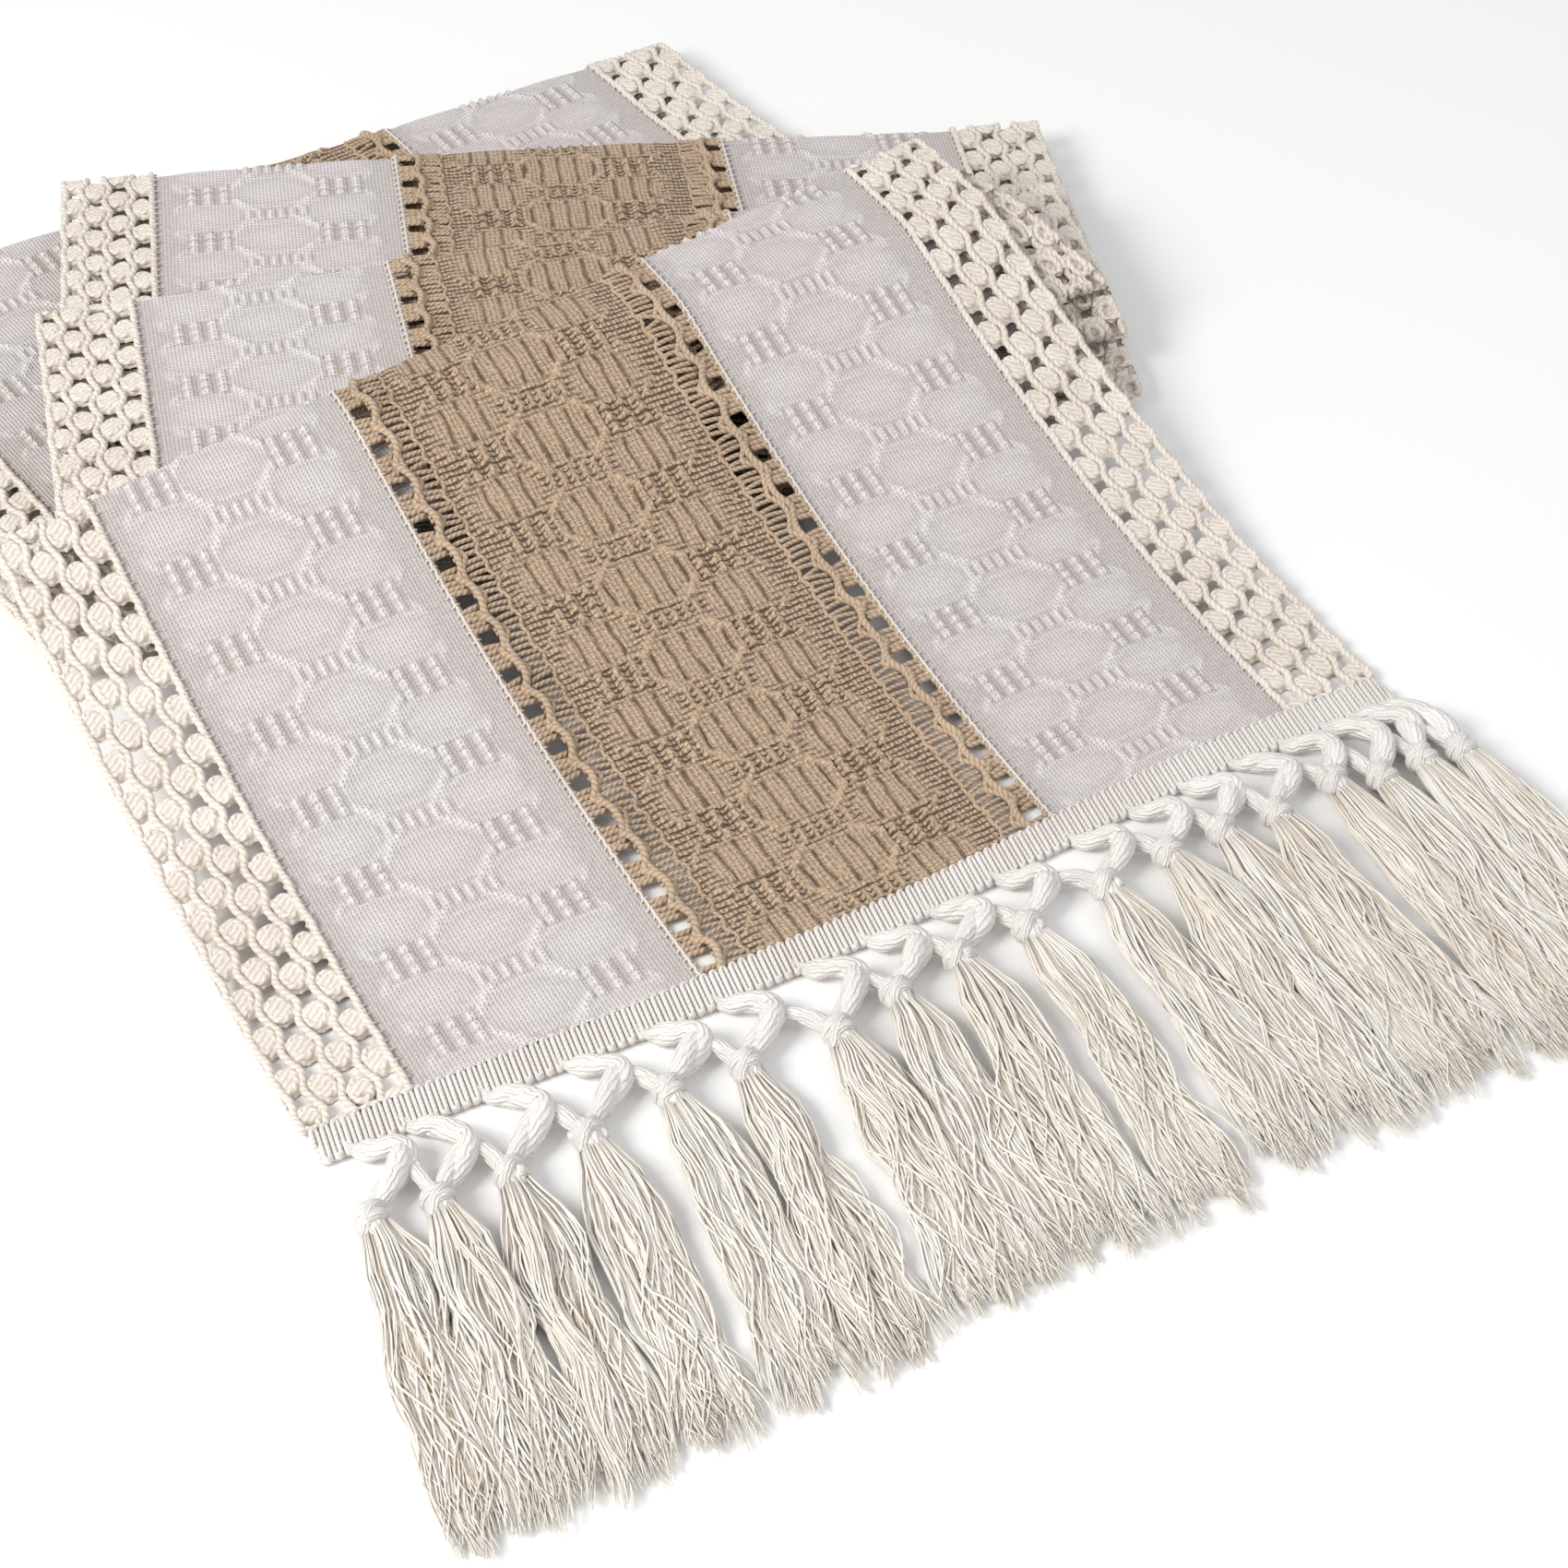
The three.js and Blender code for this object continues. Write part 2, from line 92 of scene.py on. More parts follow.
# %% Putting arrays into a mesh
def make_piece(name, points, faces, uv, finish, body="runner", attributes=()):
    """Makes a smooth-shaded mesh object. faces and uv are lists of arrays, one for each kind of
    face: faces hold point numbers, uv holds a pair of numbers for each corner."""
    mesh = bpy.data.meshes.new(name)
    corners = np.concatenate([group.ravel() for group in faces])
    sizes = np.concatenate([np.full(len(group), group.shape[1]) for group in faces])
    starts = np.concatenate([[0], np.cumsum(sizes)[:-1]])
    mesh.vertices.add(len(points))
    mesh.vertices.foreach_set("co", np.asarray(points, np.float32).ravel())
    mesh.loops.add(len(corners))
    mesh.loops.foreach_set("vertex_index", corners.astype(np.int32))
    mesh.polygons.add(len(sizes))
    mesh.polygons.foreach_set("loop_start", starts.astype(np.int32))
    mesh.polygons.foreach_set("use_smooth", np.ones(len(sizes), bool))
    mesh.update(calc_edges=True)
    mesh.validate()
    layer = mesh.uv_layers.new(name="cloth")
    pairs = np.concatenate([group.reshape(-1, 2) for group in uv])
    layer.data.foreach_set("uv", pairs.astype(np.float32).ravel())
    for label, values in attributes:
        attribute = mesh.attributes.new(label, "FLOAT", "POINT")
        attribute.data.foreach_set("value", np.asarray(values, np.float32).ravel())
    piece = bpy.data.objects.new(name, mesh)
    bpy.context.collection.objects.link(piece)
    mesh.materials.append(finish)
    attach(piece, body)
    print(f"{name}: {len(points)} points, {int((sizes - 2).sum())} triangles")
    return piece


def grid_faces(rows, columns):
    """Four-sided faces of a grid of points, counted row by row."""
    first = (np.arange(rows - 1)[:, None] * columns + np.arange(columns - 1)[None, :]).ravel()
    return np.stack([first, first + 1, first + columns + 1, first + columns], axis=1)


# %% [markdown]
# ## Yarn
# Crochet, braid, cords and tassels are all yarn, so they are all tubes. A tube is a circle
# carried along a path. At every point of the path, one direction lies sideways to the path and
# one stands up from both, and the circle is drawn with those two.

# %% Tubes along many paths at once
def unit(vectors):
    """Each vector divided by its own length."""
    return vectors / np.maximum(np.linalg.norm(vectors, axis=-1, keepdims=True), 1e-12)


def tubes(paths, radius, sides, closed=False, upward=(0, 0, 1), flat=1.0):
    """Tubes along paths of shape (count, points, 3). A point is the path's point plus radius
    times cosine of the angle to the side, plus sine of it upwards. radius may vary along each
    path, and flat squeezes the height. Closed paths join up; open ones get an end face."""
    count, length, _ = paths.shape
    if closed:
        along = np.roll(paths, -1, axis=1) - np.roll(paths, 1, axis=1)
    else:
        along = np.gradient(paths, axis=1)
    along = unit(along)
    side = unit(np.cross(along, np.broadcast_to(np.asarray(upward, float), along.shape)))
    over = np.cross(side, along)
    angle = 2 * math.pi * np.arange(sides) / sides
    reach = np.broadcast_to(np.asarray(radius, float), (count, length))[:, :, None, None]
    sideways = np.cos(angle)[:, None] * side[:, :, None, :]
    ring = sideways + flat * np.sin(angle)[:, None] * over[:, :, None, :]
    points = (paths[:, :, None, :] + reach * ring).reshape(-1, 3)

    steps = length if closed else length - 1
    tube = np.arange(count)[:, None, None] * length * sides
    here = np.arange(steps)[None, :, None]
    turn = np.arange(sides)[None, None, :]
    a = tube + here * sides + turn
    b = tube + here * sides + (turn + 1) % sides
    c = tube + (here + 1) % length * sides + (turn + 1) % sides
    d = tube + (here + 1) % length * sides + turn
    faces = [np.stack([a, d, c, b], axis=-1).reshape(-1, 4)]
    run = np.concatenate([[0], np.cumsum(np.linalg.norm(np.diff(paths[0], axis=0), axis=1))])
    run = np.append(run, run[-1] * length / (length - 1)) if closed else run
    near, turned = np.broadcast_arrays(run[:steps][None, :, None], turn / sides)
    far, further = np.broadcast_arrays(run[1:steps + 1][None, :, None], (turn + 1) / sides)
    pairs = ((near, turned), (far, turned), (far, further), (near, further))
    corner = [np.stack(pair, axis=-1) for pair in pairs]
    uv = [np.broadcast_to(np.stack(corner, axis=-2), (count, steps, sides, 4, 2)).reshape(-1, 2)]
    if not closed:
        start = tube[:, 0] + turn[0]
        stop = start + (length - 1) * sides
        faces.append(np.concatenate([start, stop[:, ::-1]]))
        uv.append(np.zeros((faces[1].size, 2)))
    return points, faces, uv


def together(*parts):
    """Joins several (points, faces, uv) into one: every part's faces are counted on from the
    points before it."""
    points, faces, uv, before = [], [], [], 0
    for part_points, part_faces, part_uv in parts:
        points.append(part_points)
        faces += [group + before for group in part_faces]
        uv += part_uv
        before += len(part_points)
    return np.concatenate(points), faces, uv


def in_metres(uv):
    """The lengths along the yarns in metres. The turns round them stay as they are."""
    return [group * (MM, 1) for group in uv]


# %% [markdown]
# ## Where the cloth lies
# The cloth is folded like a paper fan, only loosely and at slightly different angles. A place on
# it is given by three lengths: u across from the middle, s along from the front hem, and h off
# the cloth's middle. The same rules as in the design turn them into a place in space, so every
# yarn can be laid out on a flat cloth first and folded afterwards.

# %% The folded layout
LENGTHS = [(215, 8), (55, 0), (100, -15), (66, -17), (132, -20), (179, -6.5), (224, 1), (20, None)]
TOTAL = sum(length for length, _ in LENGTHS)
BLEND = 1.2
PILE_TOP = 40.5
BOW_FADE = 120


def direction(degrees):
    """Unit vector in the plane at an angle from the hem."""
    return np.array([math.cos(math.radians(degrees)), math.sin(math.radians(degrees))])


def lay_out():
    """The lengths of cloth end to end. A fold line works as a mirror for the way on."""
    start, heading, side, travelled, panels = np.zeros(2), 90.0, 1, 0.0, []
    for index, (length, fold) in enumerate(LENGTHS):
        along, across = direction(heading), direction(heading - 90 * side)
        panel = dict(index=index, start=start, end=start + along * length, along=along,
                     across=across, side=side, first=travelled, last=travelled + length, line=None)
        if fold is not None:
            line = direction(fold)
            out = np.array([-line[1], line[0]])
            panel.update(line=line, out=out if out @ along > 0 else -out)
            heading = 2 * fold - heading
        panels.append(panel)
        start, side, travelled = panel["end"], -side, travelled + length
    return panels


PANELS = lay_out()


def lower(a, b):
    """The smaller of two heights, with the corner between them rounded."""
    return -BLEND * np.logaddexp(-a / BLEND, -b / BLEND)


def ramp(x, start, end):
    """0 before start, 1 after end, and an S curve between."""
    t = np.clip((x - start) / (end - start), 0, 1)
    return t * t * (3 - 2 * t)


def hem_bow(x):
    """How far the front hem lies before or behind a straight line, at a place along it."""
    return -0.8 - 2.2 * ramp(x, -140, -60) + 7.2 * ramp(x, -20, 105) - 0.8 * ramp(x, 105, 150)


def layer_height(layer, x, y):
    """Height of the middle of a layer: the front slope, the pile and the table, each rounded
    into the next."""
    slope = 1.1 + 1.026e-3 * y * np.abs(y)
    if layer == 0:
        return lower(slope, PILE_TOP)
    t = np.clip((x + 71) / 286, -0.3, 1)
    third = 24 - t - 15.5 * t * np.abs(t)
    second = 30.5 - 8.5 * ramp(x, 80, 200)
    lift = 2.4 * ramp(y, 330, 372)
    pile = [PILE_TOP, 37 + 0 * x, second, second - 3.2, third, third - 4.2 + t, 6 + lift,
            1.4 + 1.2 * lift][layer]
    limited = lower(slope - 3.4 * layer, pile)
    over_table = [0, 24, 20, 14.4, 11.1, 7.8, 4.6, 1.4][layer]
    return limited if layer < 3 else -lower(-limited, -over_table + 0 * x)


def bend(panel, u):
    """Radius, middle height, reach and place of the half circle that ends a panel."""
    on_line = panel["end"] + panel["line"] * (u / (panel["line"] @ panel["across"]))[..., None]
    radius = np.full(np.shape(u), 2.0)
    for _ in range(4):
        entry = on_line - panel["out"] * (radius * math.pi / 2)[..., None]
        top = layer_height(panel["index"], entry[..., 0], entry[..., 1])
        radius = (top - layer_height(panel["index"] + 1, entry[..., 0], entry[..., 1])) / 2
    return radius, top - radius, radius * math.pi / 2, on_line


def flat_place(panel, u, s):
    """The place where the panel's plane puts (u, s). The front hem's bow fades up the cloth."""
    bow = hem_bow(u) * (1 - ramp(s, 0, BOW_FADE)) if panel["index"] == 0 else 0.0
    along = (s - panel["first"] + bow)[..., None] * panel["along"]
    return panel["start"] + along + u[..., None] * panel["across"]


def cloth(points):
    """Folds points given as (u, s, h) in millimetres into the runner's frame, in metres. On a
    panel, z is the layer's height plus h. In a fold the point goes round a half circle."""
    u, s, h = (points[..., i].astype(float) for i in range(3))
    placed = np.zeros(points.shape)
    waiting = np.ones(u.shape, bool)
    for panel in PANELS:
        if not waiting.any():
            break
        chosen = np.flatnonzero(waiting)
        pu, ps, ph = u.ravel()[chosen], s.ravel()[chosen], h.ravel()[chosen]
        flat = flat_place(panel, pu, ps)
        result = np.empty((len(chosen), 3))
        result[:, :2] = flat
        result[:, 2] = layer_height(panel["index"], flat[:, 0], flat[:, 1]) + ph * panel["side"]
        here = np.ones(len(chosen), bool)
        if panel["line"] is not None:
            radius, middle, reach, origin = bend(panel, pu)
            distance = (flat - panel["end"]) @ panel["out"]
            here = distance <= reach
            turn = distance / radius
            outside = radius + ph * panel["side"]
            shift = ((flat - origin) @ panel["line"])[:, None] * panel["line"]
            bent = origin + shift + (outside * np.cos(turn) - reach)[:, None] * panel["out"]
            folded = np.column_stack([bent, middle - outside * np.sin(turn)])
            curved = distance > -reach
            result[curved] = folded[curved]
        placed.reshape(-1, 3)[chosen[here]] = result[here]
        waiting.ravel()[chosen[here]] = False
    return placed * MM + HEM


def length_at(panel, u, distance):
    """Length s at which the cloth stands a given distance past a panel's fold line."""
    at_end = (flat_place(panel, u, np.full(u.shape, panel["last"])) - panel["end"]) @ panel["out"]
    return panel["last"] + (distance - at_end) / (panel["along"] @ panel["out"])


SHOWN = (0, 2, 4, 6)
HEM_GAP = 0.2
FINE_ROW, COARSE_ROW, FOLD_ROWS = 0.8, 6.0, 9
print("cloth length", TOTAL, "mm in", len(PANELS), "lengths")


def cloth_rows(u):
    """Rows of s for every u, from hem to hem: close together where the face shows, wide apart on
    the lengths that are hidden, and with several rows round every fold."""
    rows = []
    first = np.full(u.shape, HEM_GAP)
    for index, panel in enumerate(PANELS):
        last = np.full(u.shape, TOTAL - HEM_GAP)
        if panel["line"] is not None:
            last = length_at(panel, u, -bend(panel, u)[2])
        row = FINE_ROW if index in SHOWN else COARSE_ROW
        steps = max(2, round(float((last - first).mean()) / row))
        share = np.linspace(0, 1, steps + 1)[:-1, None]
        rows.append(first + (last - first) * share)
        if panel["line"] is not None:
            reach = bend(panel, u)[2]
            places = np.linspace(-1, 1, FOLD_ROWS)[:-1]
            rows.append(np.array([length_at(panel, u, reach * t) for t in places]))
            first = length_at(panel, u, reach)
    rows.append(np.full((1,) + u.shape, TOTAL - HEM_GAP))
    return np.concatenate(rows)


# %% [markdown]
# ## Writing materials as sums
# A material is a net of nodes, and a net is hard to read. The small class below wraps a socket,
# so that sums on it add Math nodes: 1 - mask is a Subtract node. Any other node comes from one
# method that takes the node's type, its settings and what goes into its sockets.

# %% Shader maths
class Shade:
    """A number that varies over a surface."""

    def __init__(self, finish, socket):
        self.finish, self.socket = finish, socket

    def math(self, operation, *values):
        """A Math node on these values, in this order."""
        return self.finish.node("ShaderNodeMath", {"operation": operation}, dict(enumerate(values)))

    def __add__(self, other):
        return self.math("ADD", self, other)

    def __sub__(self, other):
        return self.math("SUBTRACT", self, other)

    def __rsub__(self, other):
        return self.math("SUBTRACT", other, self)

    def __mul__(self, other):
        return self.math("MULTIPLY", self, other)

    __radd__, __rmul__ = __add__, __mul__

    def wave(self, period):
        """A wave between 0 and 1, highest where this value is a whole number of periods."""
        return self.math("COSINE", self * (2 * math.pi / period)) * 0.5 + 0.5

    def between(self, start, end):
        """0 below start, 1 above end, with an S curve between."""
        settings = {"interpolation_type": "SMOOTHSTEP"}
        sockets = {0: self, 1: start, 2: end, 3: 0.0, 4: 1.0}
        return self.finish.node("ShaderNodeMapRange", settings, sockets)

    def highest(self, other):
        """The larger of this value and another."""
        return self.math("MAXIMUM", self, other)


class Finish:
    """A material with one Principled shader. Constants go straight on to its sockets."""

    def __init__(self, name, **constants):
        self.material = bpy.data.materials.new(name)
        self.material.use_nodes = True
        self.tree = self.material.node_tree
        self.shader = self.tree.nodes["Principled BSDF"]
        for socket, value in constants.items():
            self.shader.inputs[socket.replace("_", " ")].default_value = value

    def node(self, kind, settings=None, sockets=None, output=0):
        """Adds a node, sets it, feeds its sockets with values or Shades, and gives its output."""
        made = self.tree.nodes.new(kind)
        for key, value in (settings or {}).items():
            if key == "stops":
                elements = made.color_ramp.elements
                while len(elements) < len(value):
                    elements.new(0.5)
                for stop, (place, colour) in zip(elements, value):
                    stop.position, stop.color = place, (*colour, 1)
            else:
                setattr(made, key, value)
        for key, value in (sockets or {}).items():
            if isinstance(value, Shade):
                self.tree.links.new(value.socket, made.inputs[key])
            else:
                made.inputs[key].default_value = value
        return Shade(self, made.outputs[output])

    def uv(self):
        """The piece's own two lengths, in millimetres for cloth and metres along a yarn."""
        pair = self.node("ShaderNodeUVMap", {"uv_map": "cloth"})
        return pair, *(self.node("ShaderNodeSeparateXYZ", None, {0: pair}, output=i) for i in (0, 1))

    def place(self):
        """The place on the object, in metres."""
        return self.node("ShaderNodeTexCoord", None, None, output=3)

    def stretched(self, vector, scale):
        """The vector times a different number on each axis."""
        return self.node("ShaderNodeMapping", None, {"Vector": vector, "Scale": scale})

    def noise(self, vector, scale, detail):
        """A soft random pattern. scale is the number of its clouds in one unit of the vector."""
        sockets = {"Vector": vector, "Scale": scale, "Detail": detail}
        return self.node("ShaderNodeTexNoise", None, sockets)

    def attribute(self, name):
        """A number that the mesh holds for each of its points."""
        return self.node("ShaderNodeAttribute", {"attribute_name": name}, None, output=2)

    def ramp(self, share, *stops):
        """A colour from a row of stops, each a share and the colour there."""
        return self.node("ShaderNodeValToRGB", {"stops": stops}, {0: share})

    def mix(self, share, a, b):
        """Colour a where share is 0 and b where it is 1."""
        return self.node("ShaderNodeMix", {"data_type": "RGBA"}, {0: share, 6: a, 7: b}, output=2)

    def put(self, socket, value):
        """Feeds one of the shader's sockets."""
        self.tree.links.new(value.socket, self.shader.inputs[socket])

    def bump(self, height, distance, strength):
        """Tilts the surface as if it stood up by height times distance, in metres."""
        sockets = {"Height": height, "Distance": distance, "Strength": strength}
        self.put("Normal", self.node("ShaderNodeBump", None, sockets))


# %% [markdown]
# ## White cloth finish
# The white strips are a fine basket weave, with about one thread to each millimetre both ways.
# The threads are far finer than the mesh, so they are a bump pattern on the cloth's own two
# lengths. Painted shade darkens the gaps between the threads and the low parts of the raised
# figure. A slow, faint change of tint keeps the white from looking like paper.

# %% White cloth
def white_cloth():
    """Weave = a wave along times a wave across. Painted shade darkens the gaps between threads and the low
    parts of the figure, so the cloth is lighter where it stands high.
    """
    finish = Finish("white_cloth", Roughness=0.92, Sheen_Weight=0.2, Sheen_Roughness=0.5)
    pair, across, along = finish.uv()
    wobble = finish.noise(finish.stretched(pair, (0.12, 0.3, 1)), 1.0, 2.0) - 0.5
    weft = (along + wobble * 0.35).wave(1.18)
    warp = (across + wobble * 0.35).wave(1.06)
    fuzz = finish.noise(finish.place(), 1500.0, 3.0)
    weave = weft * warp * 0.75 + weft * 0.25
    relief = finish.attribute("relief")
    uneven = finish.noise(finish.stretched(pair, (0.45, 0.9, 1)), 1.0, 2.0)
    tint = finish.noise(finish.stretched(pair, (0.03, 0.018, 1)), 1.0, 1.0)
    light = finish.ramp(tint, (0.30, (0.835, 0.755, 0.755)), (0.5, (0.850, 0.790, 0.775)),
                        (0.72, (0.830, 0.805, 0.780)))
    # painted shade: the dark colour fills the gaps between threads (weave) and the low parts of the figure
    # (relief); the uneven noise is the cloth's own tone
    painted_shading = (weave * 0.42 + relief * 0.85 + uneven * 0.35 - 0.34).between(0.0, 0.75)
    finish.put("Base Color", finish.mix(painted_shading, (0.50, 0.43, 0.40, 1), light))
    finish.bump(weave + fuzz * 0.4 + uneven * 0.3, 0.0007, 0.9)
    return finish.material


WHITE_CLOTH = white_cloth()

# %% [markdown]
# ## Figured white strips
# The loom raises the same figure all along the strip: smooth ovals in a lattice of pointed
# arches, a row of small raised floats where two arches cross in the middle, and a block of nine
# thick floats where they meet at the sides. The height off the cloth is a sum of those parts,
# each a function of u and s, so a plain grid with that height is the woven figure.

# %% The raised figure
def from_nearest(value, pitch):
    """Distance to the nearest whole number of pitches."""
    return value - pitch * np.round(value / pitch)


def ridges(across, pitch, width):
    """Parallel rounded ridges: a bell curve that repeats."""
    return np.exp(-((from_nearest(across, pitch) / width) ** 2))


def bumps(across, along, pitch_across, pitch_along, width, height):
    """Rows and columns of rounded bumps: ridges times a flatter bell curve the other way."""
    ends = np.exp(-((from_nearest(along, pitch_along) / height) ** 4))
    return ridges(across, pitch_across, width) * ends


def figure(c, s, first, pitch, half_width):
    """Height in millimetres of the raised figure, c across from its middle and s along. Arches:
    |d| = half the pitch times (1 + cos(pi c / half_width)) / 2, d being the distance to the
    nearest oval's middle."""
    half = pitch / 2
    d = from_nearest(s - first, pitch)
    arch = half * (1 + np.cos(math.pi * c / half_width)) / 2
    slope = half * math.pi / half_width * np.sin(math.pi * c / half_width) / 2
    off_arch = (np.abs(d) - arch) / np.sqrt(1 + slope ** 2)
    side_c = np.abs(c) - half_width
    side_d = half - np.abs(d)
    oval = np.minimum(np.hypot(c / 12.3, d / 7.6), np.hypot(side_c / 11.0, side_d / 6.8))
    dome = np.clip(1 - oval ** 2, 0, 1) ** 0.6
    rim = np.exp(-(((oval - 1.1) / 0.13) ** 2))
    dashes = 0.45 + 0.55 * ridges(c, 3.3, 1.0)
    cord = np.exp(-((off_arch / 0.95) ** 2)) * dashes
    block = ramp(-np.abs(side_c), -7.6, -6.6) * ramp(-np.abs(d), -5.6, -4.8)
    floats = bumps(side_c, d, 4.9, 3.4, 1.25, 1.45)
    crossing = ramp(-np.abs(c), -12.5, -8.5) * ramp(-side_d, -3.0, -1.6)
    small = ridges(c + 1.6, 3.3, 0.95)
    ground = 0.45 * dome + 0.45 * rim + 1.15 * cord
    ground = ground * (1 - block) + block * (1.55 * floats - 0.35)
    return ground * (1 - crossing) + crossing * (1.3 * small - 0.25)


def strip(name, low_u, high_u, columns, finish, relief, ground, masks=()):
    """A strip of cloth as a grid, raised by relief(u, s). Its UV map is (u, s) in millimetres.
    The finish gets the relief, counted from a ground level, to paint shade where the cloth lies
    low, and any masks, each a function of u and s."""
    u = np.linspace(low_u, high_u, columns)
    s = cloth_rows(u)
    u = np.broadcast_to(u, s.shape)
    raised = relief(u, s)
    points = cloth(np.stack([u, s, raised], axis=-1)).reshape(-1, 3)
    faces = grid_faces(*s.shape)
    pairs = np.stack([u, s], axis=-1).reshape(-1, 2)[faces.ravel()]
    # relief attribute: the finishes paint shade where it is low
    spread = [("relief", np.clip(ground + 0.6 * raised, 0, 1))]
    spread += [(label, mask(u, s)) for label, mask in masks]
    return make_piece(name, points, [faces], [pairs], finish, attributes=spread)


SEAM, CENTRE = 125.0, 51.0
SEAM_GAP = 0.1
WHITE_COLUMNS, WHITE_GROUND = 98, 0.42
WHITE_PITCH, WHITE_HALF = 25.7, 20.0


def white_relief(middle, first):
    """The white figure about a line across and a first oval along, fading to plain at its sides."""
    def relief(u, s):
        c = u - middle
        plain = ramp(np.abs(c), 27.5, 32)
        return 0.05 + figure(c, s, first, WHITE_PITCH, WHITE_HALF) * (1 - plain)
    return relief


white_left = strip("white_panel_left_cloth", -SEAM + SEAM_GAP, -CENTRE - SEAM_GAP, WHITE_COLUMNS,
                   WHITE_CLOTH, white_relief(-88.6, 11.9), WHITE_GROUND)
white_right = strip("white_panel_right_cloth", CENTRE + SEAM_GAP, SEAM - SEAM_GAP, WHITE_COLUMNS,
                    WHITE_CLOTH, white_relief(87.0, 21.5), WHITE_GROUND)
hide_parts("white_panel_left")
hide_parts("white_panel_right")

# %% [markdown]
# ## Tan cloth finish
# The middle strip is a coarser, looser weave of the same kind in a jute colour. Its thick weft
# lies in rows about two millimetres apart, and the gaps between them are painted dark as shade.
# In the ovals the warp pulls the weft into thin upright lines, with painted shade in the openings
# between them.

# %% Tan cloth
def tan_cloth():
    """Body = how far the thread stands clear of the gaps, made of three broken waves. Painted shade darkens
    the gaps and the low ground round the floats.
    """
    finish = Finish("tan_cloth", Roughness=0.95, Sheen_Weight=0.15, Sheen_Roughness=0.6)
    pair, across, along = finish.uv()
    wobble = finish.noise(finish.stretched(pair, (0.16, 0.35, 1)), 1.0, 3.0) - 0.5
    drift = finish.noise(finish.stretched(pair, (0.35, 0.10, 1)), 1.0, 2.0) - 0.5
    weft = (along + wobble * 1.3).wave(1.9)
    line = (across + drift * 2.6 + 1.5).wave(5.3)
    fine = (across + drift * 1.4 + wobble * 0.6).wave(1.33)
    oval = finish.attribute("oval")
    relief = finish.attribute("relief")
    patches = finish.noise(finish.stretched(pair, (0.55, 0.80, 1)), 1.0, 3.0)
    thread = finish.noise(finish.stretched(pair, (0.75, 2.4, 1)), 1.0, 3.0)
    # gap, pinch and upright are low in the openings between threads, where shade is painted; they also lower
    # the bump
    gap = 1 - (1 - (weft + (patches - 0.5) * 1.9).between(0.05, 0.40)) * (1 - oval * 0.55)
    pinch = 1 - (1 - (fine + (thread - 0.5) * 1.2).between(0.0, 0.35)) * 0.45
    upright = 1 - line.between(0.90, 0.985) * oval * patches.between(0.32, 0.42)
    body = (gap * upright * pinch).highest(relief.between(0.78, 0.98) * 0.9)
    height = body * 0.9 + weft * 0.25 + fine * 0.2 + thread * 0.25
    jute = finish.ramp(thread, (0.32, (0.330, 0.215, 0.128)), (0.5, (0.520, 0.368, 0.243)),
                       (0.68, (0.750, 0.585, 0.425)))
    # painted shade: the dark colour fills the gaps between threads, the upright openings in the ovals and
    # the low ground round the floats
    painted_shading = (body * 0.85 + relief - 0.56).between(0.0, 0.70)
    finish.put("Base Color", finish.mix(painted_shading, (0.105, 0.056, 0.027, 1), jute))
    finish.bump(height, 0.0007, 1.0)
    return finish.material


TAN_CLOTH = tan_cloth()
TAN_EDGE, TAN_MIDDLE, TAN_FIRST = 37.5, -1.5, 16.5
TAN_PITCH, TAN_HALF = 25.5, 21.0
TAN_COLUMNS, TAN_GROUND = 80, 0.45


def tan_relief(u, s):
    """The same figure, a quarter higher in the coarser yarn."""
    c = u - TAN_MIDDLE
    plain = ramp(np.abs(c), 31, 35)
    return figure(c, s, TAN_FIRST, TAN_PITCH, TAN_HALF) * (1 - plain) * 1.25


def oval_mask(u, s):
    """1 inside the ovals of the tan figure and 0 outside them."""
    c, d = u - TAN_MIDDLE, from_nearest(s - TAN_FIRST, TAN_PITCH)
    beside = np.hypot((np.abs(c) - TAN_HALF) / 10, (TAN_PITCH / 2 - np.abs(d)) / 7.5)
    return ramp(-np.minimum(np.hypot(c / 14.5, d / 8.5), beside), -1.1, -0.85)


tan = strip("tan_centre_cloth", -TAN_EDGE, TAN_EDGE, TAN_COLUMNS, TAN_CLOTH, tan_relief, TAN_GROUND,
            [("oval", oval_mask)])
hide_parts("tan_centre_panel")

# %% [markdown]
# ## Yarn finishes
# All the yarns use the same idea: slanted lines wound round the tube, made from the length along
# the yarn and the turn round it, plus soft fuzz. The grooves between the lines are painted darker
# as shade, and the fuzz and a slow noise vary the yarn's own tone. Only the colour and the
# winding change.

# %% Yarn
def yarn(name, dark, light, winding, depth, roughness=0.8, sheen=0.3, fibres=0):
    """A twisted yarn. winding is its turns per metre, depth the height of its strands, and
    fibres the number of fine lines that run along it. dark is the colour in the grooves, partly
    painted shade and partly the yarn's own uneven tone, and light the colour on the strands."""
    finish = Finish(name, Roughness=roughness, Sheen_Weight=sheen, Sheen_Roughness=0.4)
    _, along, around = finish.uv()
    place = finish.place()
    if fibres:
        stray = finish.noise(place, 350.0, 2.0) * 1.6
        ply = (around * fibres + along * winding * 0.4 + stray).wave(1.0)
    else:
        ply = (along * winding + around * 2).wave(1.0)
    fuzz = finish.noise(place, 1900.0, 3.0)
    slow = finish.noise(place, 60.0, 2.0)
    # colour: the ply term paints shade in the grooves between the strands; the fuzz and slow noise are the
    # yarn's own uneven tone
    share = (ply * 0.35 + fuzz * 0.35 + slow * 0.5 - 0.15).between(0.0, 0.85)
    finish.put("Base Color", finish.mix(share, (*dark, 1), (*light, 1)))
    finish.bump(ply * 0.6 + fuzz * 0.5, depth, 0.8)
    return finish.material


